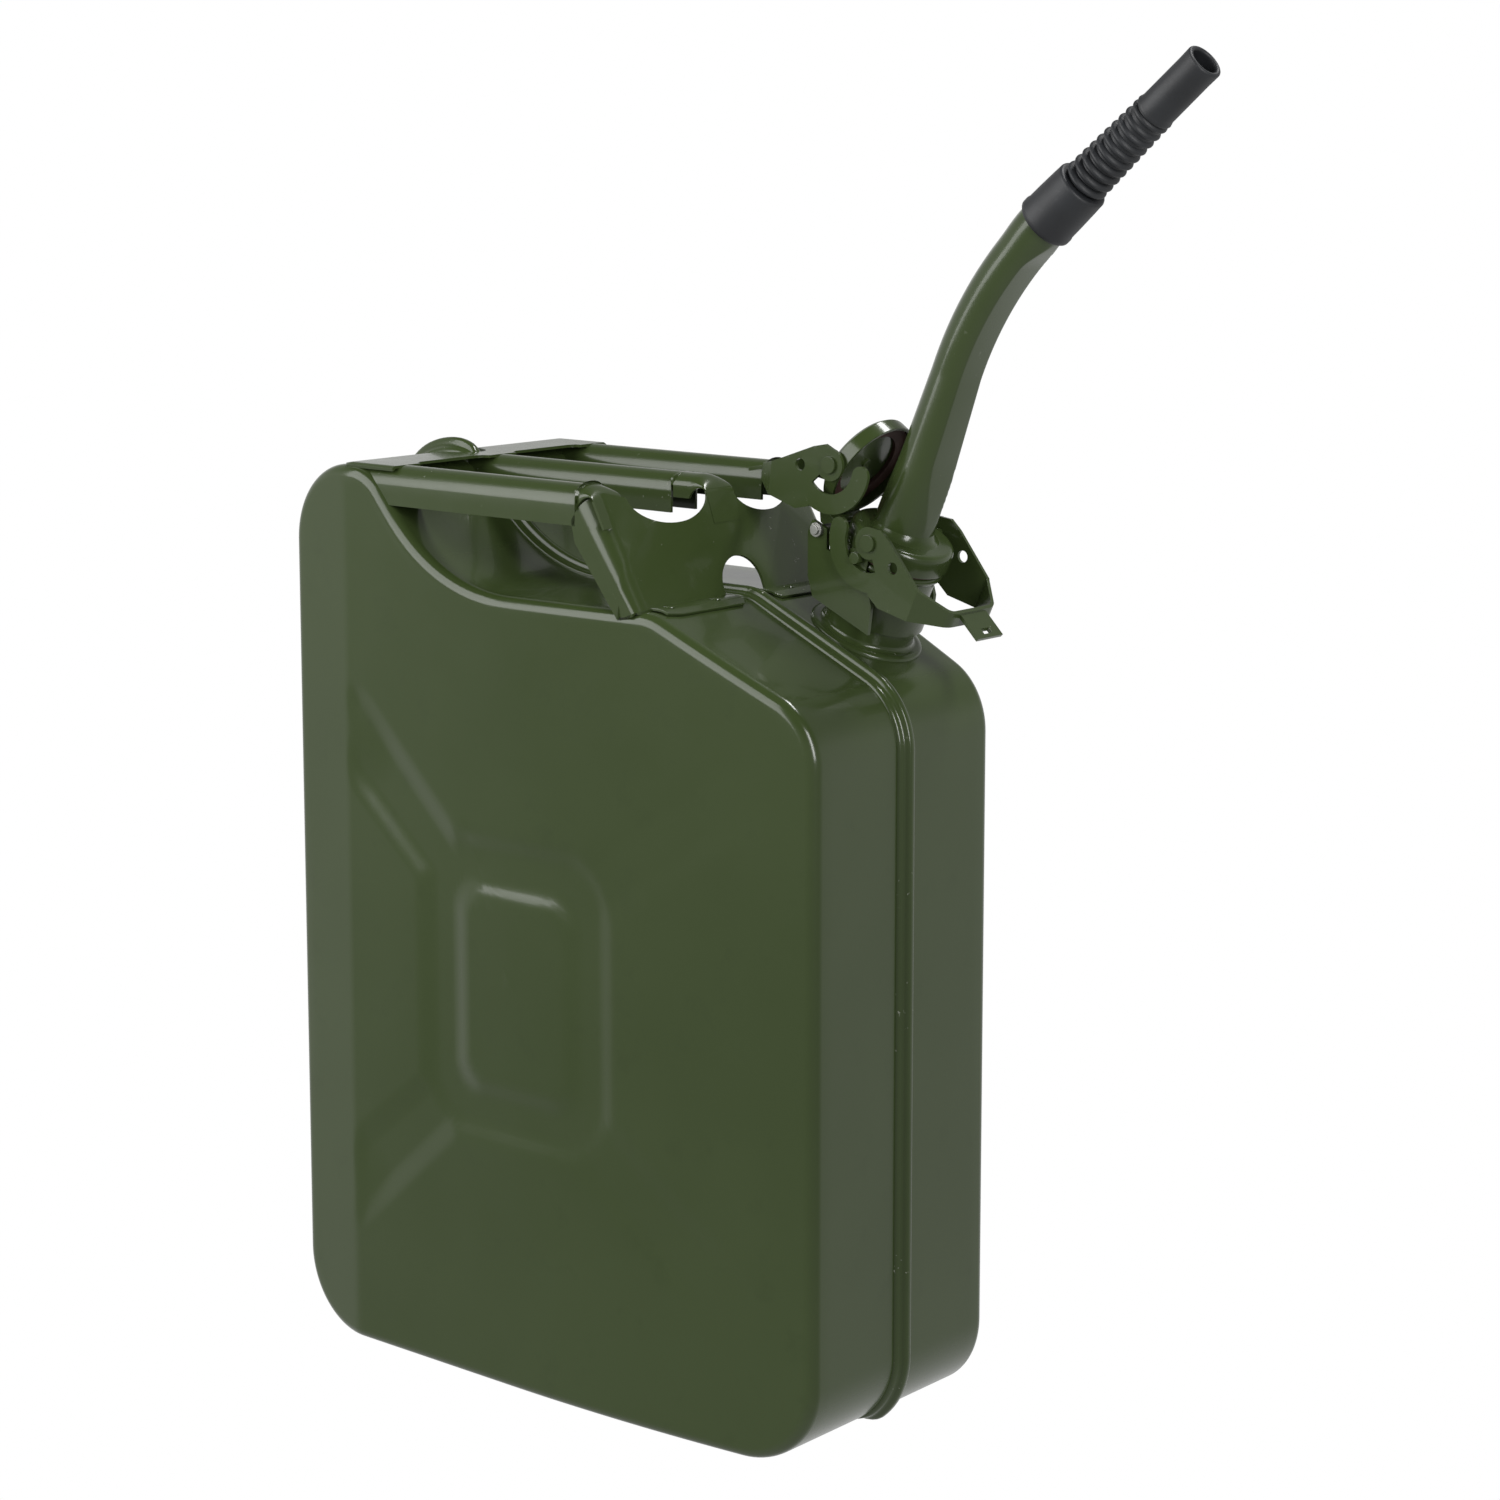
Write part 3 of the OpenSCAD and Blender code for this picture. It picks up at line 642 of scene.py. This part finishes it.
# ---------------------------------------------------------------- small pressed parts from the CAD shapes
def soften(node, body, finish, width=0.35 * MM):
    """A copy of a CAD part with its edges rounded as a press leaves them."""
    source = frame["nodes"][node]
    mesh = source.data.copy()
    piece = bpy.data.objects.new(node + "_pressed", mesh)
    bpy.context.scene.collection.objects.link(piece)
    mesh.materials.clear()
    bm = bmesh.new()
    bm.from_mesh(mesh)
    bmesh.ops.remove_doubles(bm, verts=bm.verts, dist=2e-6)
    bmesh.ops.dissolve_limit(bm, angle_limit=math.radians(0.8), verts=bm.verts, edges=bm.edges)
    bmesh.ops.recalc_face_normals(bm, faces=bm.faces)
    for face in bm.faces:
        face.smooth = True
    bm.to_mesh(mesh)
    bm.free()
    bevel(piece, width, 32)
    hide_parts(node)
    finish_piece(piece, body, finish)


# ---------------------------------------------------------------- neck, spout and nozzle
def at_neck(x=0.0, z=0.0):
    """The neck frame moved along its own axes."""
    return neck_frame @ Matrix.Translation((x, 0, z))


def filler_neck():
    """The neck with its rolled lip, and the flange it is welded on with."""
    r, bore, top = 23 * MM, 20.5 * MM, 44 * MM
    lip_r = 2.2 * MM
    profile = [(bore, -14 * MM), (r, -14 * MM), (r, top - 4.4 * MM)]
    profile += arc(r, top - lip_r, lip_r, -90, 90, 12)
    profile += [(bore + 1 * MM, top), (bore, top - 1 * MM)]
    piece = lathe("neck_with_lip", profile, at_neck(), 128)
    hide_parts("filler_neck")
    finish_piece(piece, "can", enamel_parts)
    flange = [(r, -3 * MM), (r + 6 * MM, -3 * MM), (r + 6 * MM, 0.8 * MM), (r + 5.2 * MM, 1.5 * MM)]
    flange += [(r + 3 * MM, 1.9 * MM)] + arc(r + 2.6 * MM, 4.5 * MM, 2.6 * MM, 270, 180, 8)
    piece = lathe("neck_base_flange", flange, at_neck(), 128)
    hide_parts("neck_flange")
    finish_piece(piece, "can", enamel_parts)


cap_r = 26.5 * MM
cap_low, cap_high = 48 * MM, 57 * MM


def cap_profile():
    """A pressed cap: rolled rim, rounded shoulder and a shallow dished top, as a sheet."""
    low = 45.4 * MM
    outer = [(cap_r - 0.2 * MM, low), (cap_r, low + 0.6 * MM), (cap_r, cap_high - 3.2 * MM)]
    outer += arc(cap_r - 3.2 * MM, cap_high - 3.2 * MM, 3.2 * MM, 0, 90, 10)
    outer += [(cap_r - 5 * MM, cap_high), (12 * MM, cap_high)]
    inner = [(12 * MM, cap_high - 2.4 * MM), (cap_r - 6.5 * MM, cap_high - 2.4 * MM)]
    inner += [(cap_r - 2.4 * MM, cap_high - 3.4 * MM), (cap_r - 1.5 * MM, cap_high - 4.6 * MM)]
    inner += [(cap_r - 1 * MM, cap_low + 0.4 * MM), (cap_r - 0.9 * MM, low)]
    return outer, inner


spout_lean = math.radians(3)
spout_foot_x, spout_foot_z = -1.2 * MM, 56 * MM
spout_straight = 86 * MM
spout_bend_r = 185 * MM
spout_bend_a = math.radians(28)
spout_stub = 20 * MM
spout_r0, spout_r1 = 15.5 * MM, 12.3 * MM
spout_frame = at_neck(spout_foot_x, spout_foot_z) @ Matrix.Rotation(-spout_lean, 4, "Y")


def spout_end():
    """The frame at the end of the spout's bend."""
    turn = Matrix.Translation((spout_bend_r, 0, spout_straight)) @ Matrix.Rotation(spout_bend_a, 4, "Y")
    return spout_frame @ turn @ Matrix.Translation((-spout_bend_r, 0, 0))


def spout_station(s):
    """Frame of the spout at a distance s along it."""
    if s <= spout_straight:
        return spout_frame @ Matrix.Translation((0, 0, s))
    bend = min((s - spout_straight) / spout_bend_r, spout_bend_a)
    rest = max(0.0, s - spout_straight - spout_bend_r * spout_bend_a)
    turn = Matrix.Translation((spout_bend_r, 0, spout_straight)) @ Matrix.Rotation(bend, 4, "Y")
    return spout_frame @ turn @ Matrix.Translation((-spout_bend_r, 0, rest))


def spout_pipe():
    """The spout, round at its ends and slightly flattened where it bends, with the fold that leaves."""
    total = spout_straight + spout_bend_r * spout_bend_a + spout_stub
    count, around = 120, 96
    verts = []

    def ring(s, wall):
        """One ring of the pipe: outer at no wall, inner at the wall's thickness."""
        shape = smoothstep(8 * MM, 45 * MM, s)
        shape *= 1 - smoothstep(total - 42 * MM, total - 22 * MM, s)
        radius = spout_r0 + (spout_r1 - spout_r0) * min(1, s / spout_straight) - wall
        for k in range(around):
            a = 2 * math.pi * k / around
            x, limit, blend = math.cos(a), 1 - 0.27 * shape, 0.05
            if shape and x > limit - blend:
                over = x - limit
                x = limit - blend / 2 + 0.25 * blend * min(1, (over + blend) / blend)
                x += 0.06 * max(0, over)
            x += 0.1 * shape
            verts.append(spout_station(s) @ Vector((radius * x, radius * math.sin(a), 0)))

    for i in range(count + 1):
        ring(total * i / count, 0)
    for i in range(count, -1, -8):
        ring(total * i / count, 1.2 * MM)
    rings = len(verts) // around
    faces = ring_faces(around, rings)
    last = (rings - 1) * around
    for k in range(around):
        j = (k + 1) % around
        faces.append((last + k, last + j, j, k))
    piece = new_piece("spout_pipe", verts, faces)
    sharpen(piece, 55)
    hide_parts("spout_tube", "spout_bend")
    finish_piece(piece, "can", enamel_spout)
    collar = [(spout_r0 - 0.5 * MM, 0), (spout_r0 + 3.6 * MM, 0), (spout_r0 + 3 * MM, 0.7 * MM)]
    collar += [(spout_r0 + 1.4 * MM, 1.6 * MM), (spout_r0 + 0.3 * MM, 4 * MM), (spout_r0 - 0.5 * MM, 5 * MM)]
    ring_weld = lathe("spout_weld", collar, spout_frame, 96)
    finish_piece(ring_weld, "can", enamel_spout)


def spout_base():
    """The spout's cap, with the hole that the pipe stands in."""
    outer, inner = cap_profile()
    piece = lathe("spout_cap", outer + inner, at_neck(), 128)
    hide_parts("spout_base")
    finish_piece(piece, "can", enamel_parts)


sleeve_length = 29 * MM
bellows_length = 50 * MM
outlet_length = 36 * MM
rib_count = 10


def nozzle_sleeve():
    """The sleeve pushed over the spout's end: rolled rim, gentle waist and a stepped shoulder."""
    outer = [(12.4 * MM, 0.2 * MM), (13.6 * MM, 0), (14.3 * MM, 0.8 * MM), (14.35 * MM, 3 * MM)]
    outer += [(13.9 * MM, 4.4 * MM), (13.8 * MM, 12 * MM), (13.5 * MM, 22 * MM), (13.3 * MM, 26.6 * MM)]
    outer += arc(11.7 * MM, 27.2 * MM, 1.6 * MM, 0, 90, 6)
    outer += [(9 * MM, 29 * MM), (6.7 * MM, 29 * MM), (6.7 * MM, 21 * MM), (12.4 * MM, 20 * MM)]
    piece = lathe("nozzle_collar", outer, spout_end(), 128)
    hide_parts("nozzle_sleeve")
    finish_piece(piece, "can", plastic)


def rib_tree():
    """Nodes that repeat one rib along z, each a little smaller than the one before."""
    tree = bpy.data.node_groups.new("repeated_ribs", "GeometryNodeTree")
    tree.interface.new_socket("Rib", in_out="INPUT", socket_type="NodeSocketGeometry")
    named = {}
    kinds = {"Count": "Int", "First": "Float", "Pitch": "Float", "Taper": "Float"}
    for label, kind in {**kinds, "Finish": "Material"}.items():
        socket = tree.interface.new_socket(label, in_out="INPUT", socket_type="NodeSocket" + kind)
        named[label] = socket.identifier
    tree.interface.new_socket("Ribs", in_out="OUTPUT", socket_type="NodeSocketGeometry")
    source = tree.nodes.new("NodeGroupInput")
    line = tree.nodes.new("GeometryNodeMeshLine")
    first = tree.nodes.new("ShaderNodeCombineXYZ")
    step = tree.nodes.new("ShaderNodeCombineXYZ")
    index = tree.nodes.new("GeometryNodeInputIndex")
    lost = tree.nodes.new("ShaderNodeMath")
    lost.operation = "MULTIPLY"
    kept = tree.nodes.new("ShaderNodeMath")
    kept.operation = "SUBTRACT"
    kept.inputs[0].default_value = 1.0
    scale = tree.nodes.new("ShaderNodeCombineXYZ")
    scale.inputs["Z"].default_value = 1.0
    copies = tree.nodes.new("GeometryNodeInstanceOnPoints")
    solid = tree.nodes.new("GeometryNodeRealizeInstances")
    painted = tree.nodes.new("GeometryNodeSetMaterial")
    result = tree.nodes.new("NodeGroupOutput")
    for start, end in (
        (source.outputs["Count"], line.inputs["Count"]),
        (source.outputs["First"], first.inputs["Z"]),
        (source.outputs["Pitch"], step.inputs["Z"]),
        (first.outputs[0], line.inputs["Start Location"]),
        (step.outputs[0], line.inputs["Offset"]),
        (index.outputs[0], lost.inputs[0]),
        (source.outputs["Taper"], lost.inputs[1]),
        (lost.outputs[0], kept.inputs[1]),
        (kept.outputs[0], scale.inputs["X"]),
        (kept.outputs[0], scale.inputs["Y"]),
        (line.outputs["Mesh"], copies.inputs["Points"]),
        (source.outputs["Rib"], copies.inputs["Instance"]),
        (scale.outputs[0], copies.inputs["Scale"]),
        (copies.outputs[0], solid.inputs[0]),
        (solid.outputs[0], painted.inputs["Geometry"]),
        (source.outputs["Finish"], painted.inputs["Material"]),
        (painted.outputs[0], result.inputs["Ribs"]),
    ):
        tree.links.new(start, end)
    return tree, named


def bend_with_nozzle(piece):
    """Bakes a piece's placement into its mesh. The ends of the bend between the sleeve and the outlet are
    worked out but not used, so the piece does not bend.
    """
    a = spout_end() @ Vector((0, 0, sleeve_length))
    b = spout_end() @ Vector((0, 0, sleeve_length + bellows_length))
    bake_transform(piece)


def nozzle_bellows():
    """The corrugated part: a thin tube and its ribs, which get smaller towards the outlet."""
    pitch = bellows_length / rib_count
    wall, bore, crest, last_crest = 8.7 * MM, 6.7 * MM, 11.4 * MM, 10 * MM
    start, rings = sleeve_length, 60
    outer = [(wall, start + bellows_length * k / rings) for k in range(rings + 1)]
    inner = [(bore, start + bellows_length * (1 - k / 24)) for k in range(25)]
    core = lathe("nozzle_bellows_core", outer + inner, spout_end(), 96)
    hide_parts("nozzle_bellows")
    paint(core, plastic)
    bend_with_nozzle(core)

    half, steps, root = 0.47 * pitch, 16, 8.1 * MM
    profile = []
    for k in range(steps + 1):
        t = k / steps
        wave = max(0.0, math.sin(math.pi * t)) ** 0.75
        profile.append((root + (crest - root) * wave, half * (2 * t - 1)))
    profile.append((root - 0.3 * MM, 0))
    ribs = lathe("nozzle_ribs", profile, Matrix.Identity(4), 96)
    tree, named = rib_tree()
    mod = ribs.modifiers.new("ribs", "NODES")
    mod.node_group = tree
    mod[named["Count"]] = rib_count
    mod[named["First"]] = start + pitch / 2
    mod[named["Pitch"]] = pitch
    mod[named["Taper"]] = (1 - last_crest / crest) / (rib_count - 1)
    mod[named["Finish"]] = plastic
    apply_modifiers(ribs)
    ribs.data.transform(spout_end())
    bend_with_nozzle(ribs)


def nozzle_outlet():
    """The plain outlet, slightly belled at the mouth."""
    low = sleeve_length + bellows_length
    high = low + outlet_length
    outer = [(6.7 * MM, low), (9.6 * MM, low), (9.9 * MM, low + 0.8 * MM), (9.6 * MM, low + 1.8 * MM)]
    outer += [(9.25 * MM, low + 3 * MM), (9.15 * MM, high - 8 * MM), (9.3 * MM, high - 1.4 * MM)]
    outer += arc(8 * MM, high - 1.3 * MM, 1.3 * MM, 0, 180, 10)
    outer += [(6.7 * MM, high - 2.4 * MM)]
    piece = lathe("nozzle_spout", outer, spout_end(), 128)
    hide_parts("nozzle_outlet")
    finish_piece(piece, "nozzle_outlet", plastic)


# ---------------------------------------------------------------- finishes
class Value:
    """A shader socket that does arithmetic."""

    def __init__(self, finish, socket):
        self.finish = finish
        self.socket = socket

    def maths(self, operation, a, b):
        return self.finish.node("ShaderNodeMath", {"operation": operation}, {0: a, 1: b})[0]

    def __add__(self, other):
        return self.maths("ADD", self, other)

    __radd__ = __add__

    def __sub__(self, other):
        return self.maths("SUBTRACT", self, other)

    def __rsub__(self, other):
        return self.maths("SUBTRACT", other, self)

    def __mul__(self, other):
        return self.maths("MULTIPLY", self, other)

    def limited(self):
        """The value held between 0 and 1."""
        return self.finish.node("ShaderNodeClamp", {}, {0: self})[0]

    def ramp(self, low, high):
        """A smooth ramp from 0 at low to 1 at high."""
        settings = {"interpolation_type": "SMOOTHSTEP"}
        inputs = {0: self, 1: low, 2: high, 3: 0.0, 4: 1.0}
        return self.finish.node("ShaderNodeMapRange", settings, inputs)[0]


class Finish:
    """A material being made, with one method for every node."""

    def __init__(self, name):
        self.material = bpy.data.materials.new(name)
        self.material.use_nodes = True
        self.tree = self.material.node_tree
        self.tree.nodes.clear()
        self.object = self.node("ShaderNodeTexCoord")["Object"]

    def node(self, kind, settings=None, inputs=None):
        """Adds a node, sets it up and returns its outputs."""
        node = self.tree.nodes.new(kind)
        for key, value in (settings or {}).items():
            setattr(node, key, value)
        for key, value in (inputs or {}).items():
            if isinstance(value, Value):
                self.tree.links.new(value.socket, node.inputs[key])
            else:
                node.inputs[key].default_value = value
        return Outputs(self, node)

    def noise(self, scale, detail=2.0, roughness=0.5, stretch=None):
        """Noise in the object's own coordinates, per metre."""
        vector = self.object
        if stretch:
            vector = self.node("ShaderNodeMapping", {}, {"Vector": vector, "Scale": stretch})["Vector"]
        inputs = {"Vector": vector, "Scale": scale, "Detail": detail, "Roughness": roughness}
        return self.node("ShaderNodeTexNoise", {}, inputs)["Fac"]

    def mix(self, factor, a, b):
        """Mixes two colours."""
        settings = {"data_type": "RGBA"}
        return self.node("ShaderNodeMix", settings, {0: factor, 6: a, 7: b})[2]

    def bump(self, height, strength, distance, before=None):
        """A bump on top of an earlier normal."""
        inputs = {"Height": height, "Strength": strength, "Distance": distance}
        if before is not None:
            inputs["Normal"] = before
        return self.node("ShaderNodeBump", {}, inputs)["Normal"]

    def surface(self, **sockets):
        """The shader itself and the output."""
        inputs = {key.replace("_", " "): value for key, value in sockets.items()}
        shader = self.node("ShaderNodeBsdfPrincipled", {}, inputs)["BSDF"]
        self.node("ShaderNodeOutputMaterial", {}, {"Surface": shader})
        return self.material


class Outputs:
    """A node's outputs, by name or number."""

    def __init__(self, finish, node):
        self.finish = finish
        self.node = node

    def __getitem__(self, key):
        return Value(self.finish, self.node.outputs[key])


OLIVE = (0.038, 0.058, 0.0165, 1)
OLIVE_LIGHT = (0.043, 0.064, 0.0200, 1)
OLIVE_DARK = (0.032, 0.050, 0.0135, 1)


def enamel(name, chips=0.0, waviness=0.35, peel=0.10):
    """Glossy baked enamel on pressed steel, with orange peel, slow waviness and small chips."""
    f = Finish(name)
    cloud = f.noise(7, 3)
    film = f.noise(46, 4, 0.6)
    fine = f.noise(520, 3, 0.55)
    slow = f.noise(16, 1)
    tone = f.mix(cloud.ramp(0.3, 0.7), OLIVE, OLIVE_LIGHT)
    tone = f.mix(film.ramp(0.55, 0.8) * 0.45, tone, OLIVE_DARK)
    tone = f.mix(fine.ramp(0.5, 0.72) * 0.12, tone, OLIVE_LIGHT)
    rough = 0.13 + film * 0.10 + fine * 0.05
    normal = f.bump(slow, waviness, 0.0016)
    normal = f.bump(fine, peel, 0.00018, normal)
    if chips:
        speck = f.noise(260, 4, 0.62)
        patch = f.noise(38, 2)
        mask = (speck.ramp(0.66, 0.70) * patch.ramp(0.52, 0.64) * chips).limited()
        tone = f.mix(mask, tone, (0.42, 0.43, 0.36, 1))
        rough = rough + mask * 0.35
        normal = f.bump(1 - mask, 0.5, 0.0002, normal)
    return f.surface(
        Base_Color=tone,
        Roughness=rough,
        Normal=normal,
        Specular_IOR_Level=0.42,
        Coat_Weight=0.25,
        Coat_Roughness=0.05,
        Coat_IOR=1.45,
    )


def moulded_plastic(name):
    """Dark flexible plastic with a faint moulded grain and slightly worn sheen."""
    f = Finish(name)
    grain = f.noise(900, 3, 0.6)
    cloud = f.noise(40, 3)
    scuff = f.noise(150, 4, 0.7, (1, 1, 4))
    tone = f.mix(cloud.ramp(0.35, 0.7), (0.014, 0.015, 0.017, 1), (0.020, 0.022, 0.025, 1))
    tone = f.mix(scuff.ramp(0.62, 0.75) * 0.35, tone, (0.034, 0.036, 0.040, 1))
    normal = f.bump(grain, 0.25, 0.00012)
    rough = 0.46 + grain * 0.1 - scuff.ramp(0.6, 0.8) * 0.08
    return f.surface(Base_Color=tone, Roughness=rough, Normal=normal)


def bare_steel(name):
    """Dull drawn steel."""
    f = Finish(name)
    drawn = f.noise(300, 3, 0.6, (1, 1, 12))
    stain = f.noise(60, 4)
    tone = f.mix(stain.ramp(0.4, 0.75), (0.42, 0.42, 0.40, 1), (0.24, 0.23, 0.21, 1))
    normal = f.bump(drawn, 0.3, 0.0001)
    return f.surface(Base_Color=tone, Metallic=1.0, Roughness=0.3 + drawn * 0.2, Normal=normal)


def rubber_ring(name):
    """Dark red-brown gasket rubber."""
    f = Finish(name)
    grain = f.noise(700, 3)
    cloud = f.noise(80, 2)
    tone = f.mix(cloud.ramp(0.3, 0.7), (0.050, 0.020, 0.016, 1), (0.078, 0.034, 0.027, 1))
    normal = f.bump(grain, 0.3, 0.0001)
    return f.surface(Base_Color=tone, Roughness=0.62 + grain * 0.15, Normal=normal)


def paint(piece, finish):
    """Gives a piece one finish."""
    piece.data.materials.clear()
    piece.data.materials.append(finish)


def finish_piece(piece, body, finish):
    """Paints a piece and lets it ride on its body."""
    paint(piece, finish)
    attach(piece, body)
    return piece


enamel_body = enamel("olive_enamel_body", 0.0, 0.30, 0.10)
enamel_seam = enamel("olive_enamel_seam", 1.0, 0.20, 0.14)
enamel_parts = enamel("olive_enamel_pressings", 0.35, 0.20, 0.12)
enamel_spout = enamel("olive_enamel_spout", 0.1, 0.45, 0.12)
plastic = moulded_plastic("nozzle_plastic_dark")
steel = bare_steel("dull_steel")
rubber = rubber_ring("gasket_rubber")

# ---------------------------------------------------------------- the object
half_shell("shell_pressed_left", 1, "shell_left")
half_shell("shell_pressed_right", -1, "shell_right")
seam_bead()

rear = rear_plate()
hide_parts("carry_handle")
for label, offset in (("left", bar_pitch), ("middle", 0), ("right", -bar_pitch)):
    carry_bar("handle_bar_" + label, offset)
front_web()
web_feet()

filler_neck()
spout_base()
spout_pipe()
nozzle_sleeve()
nozzle_bellows()
nozzle_outlet()

for node in ("closure_yoke", "yoke_lugs", "spout_pivots"):
    soften(node, "can", enamel_parts)
soften("lid_hinge_pin", "can", steel, 0.25 * MM)
soften("spout_lever", "spout_lever", enamel_parts, 0.4 * MM)
soften("lid_lever", "lid_lever", enamel_parts, 0.4 * MM)
for node in ("lid_cap", "lid_hinge_arm", "lid_pivots", "lid_retainer"):
    soften(node, "lid", enamel_parts, 0.3 * MM)
soften("lid_gasket", "lid", rubber, 0.4 * MM)
soften("spout_gasket", "can", rubber, 0.4 * MM)
for node in ("vent_tube", "breather_tube", "strainer"):
    paint(frame["nodes"][node], steel)

# ---------------------------------------------------------------- camera and light
scene = bpy.context.scene
azimuth, elevation = math.radians(40.4), math.radians(8.53)
target = Vector((74.5, 0, 408.8)) * MM
distance = 1694.3 * MM
away = Vector((
    math.sin(azimuth) * math.cos(elevation),
    -math.cos(azimuth) * math.cos(elevation),
    math.sin(elevation),
))
camera = bpy.data.objects.new("camera", bpy.data.cameras.new("camera"))
camera.data.lens = 82.0
camera.data.sensor_width = 36
camera.data.shift_y = -0.1
camera.data.clip_end = 20
camera.location = target + away * distance
camera.rotation_euler = (-away).to_track_quat("-Z", "Y").to_euler()
scene.collection.objects.link(camera)
scene.camera = camera


# Brightness of the room that the object sees, which the camera doesn't
ROOM_BASE = 0.40
ROOM_GLOW = (
    # axis, from, to, and how much is added there
    ("Y", 0.1, 0.8, 0.34),
    ("X", -0.66, -0.8, 0.40),
    ("Z", -0.3, -0.9, 0.25),
    ("Z", 0.12, 0.5, -0.36),
)
SOFTBOXES = (
    # name, place, aim, width, height, watts
    ("key", (-1.0, -2.1, 1.5), (0, 0, 0.25), 2.4, 2.4, 66),
    ("fill", (2.4, -0.9, 1.2), (0.1, 0, 0.3), 0.6, 1.6, 34),
    ("top", (0.5, 0.8, 2.3), (0.05, 0, 0.4), 0.9, 0.35, 22),
)


def softbox(name, place, aim, width, height, power):
    """A large soft light."""
    data = bpy.data.lights.new(name, "AREA")
    data.shape = "RECTANGLE"
    data.size = width
    data.size_y = height
    data.energy = power
    light = bpy.data.objects.new(name, data)
    light.location = place
    light.rotation_euler = (Vector(aim) - Vector(place)).to_track_quat("-Z", "Y").to_euler()
    scene.collection.objects.link(light)


def studio_light():
    """White to the camera, a dimmer room for the object to reflect, and softboxes."""
    world = bpy.data.worlds.new("studio")
    world.use_nodes = True
    tree = world.node_tree
    tree.nodes.clear()
    room = tree.nodes.new("ShaderNodeBackground")
    sweep = tree.nodes.new("ShaderNodeBackground")
    sweep.inputs["Color"].default_value = (1, 1, 1, 1)
    path = tree.nodes.new("ShaderNodeLightPath")
    either = tree.nodes.new("ShaderNodeMixShader")
    output = tree.nodes.new("ShaderNodeOutputWorld")
    direction = tree.nodes.new("ShaderNodeTexCoord")
    parts = tree.nodes.new("ShaderNodeSeparateXYZ")
    tree.links.new(direction.outputs["Generated"], parts.inputs[0])
    glow = None
    for axis, low, high, amount in ROOM_GLOW:
        ramp = tree.nodes.new("ShaderNodeMapRange")
        ramp.interpolation_type = "SMOOTHSTEP"
        for k, value in ((1, low), (2, high), (3, 0.0), (4, amount)):
            ramp.inputs[k].default_value = value
        tree.links.new(parts.outputs[axis], ramp.inputs[0])
        total = tree.nodes.new("ShaderNodeMath")
        total.inputs[0].default_value = ROOM_BASE
        if glow:
            tree.links.new(glow, total.inputs[0])
        tree.links.new(ramp.outputs[0], total.inputs[1])
        glow = total.outputs[0]
    tree.links.new(glow, room.inputs["Strength"])
    tree.links.new(path.outputs["Is Camera Ray"], either.inputs[0])
    tree.links.new(room.outputs[0], either.inputs[1])
    tree.links.new(sweep.outputs[0], either.inputs[2])
    tree.links.new(either.outputs[0], output.inputs[0])
    scene.world = world
    for box in SOFTBOXES:
        softbox(*box)


studio_light()
scene.view_settings.view_transform = "Standard"
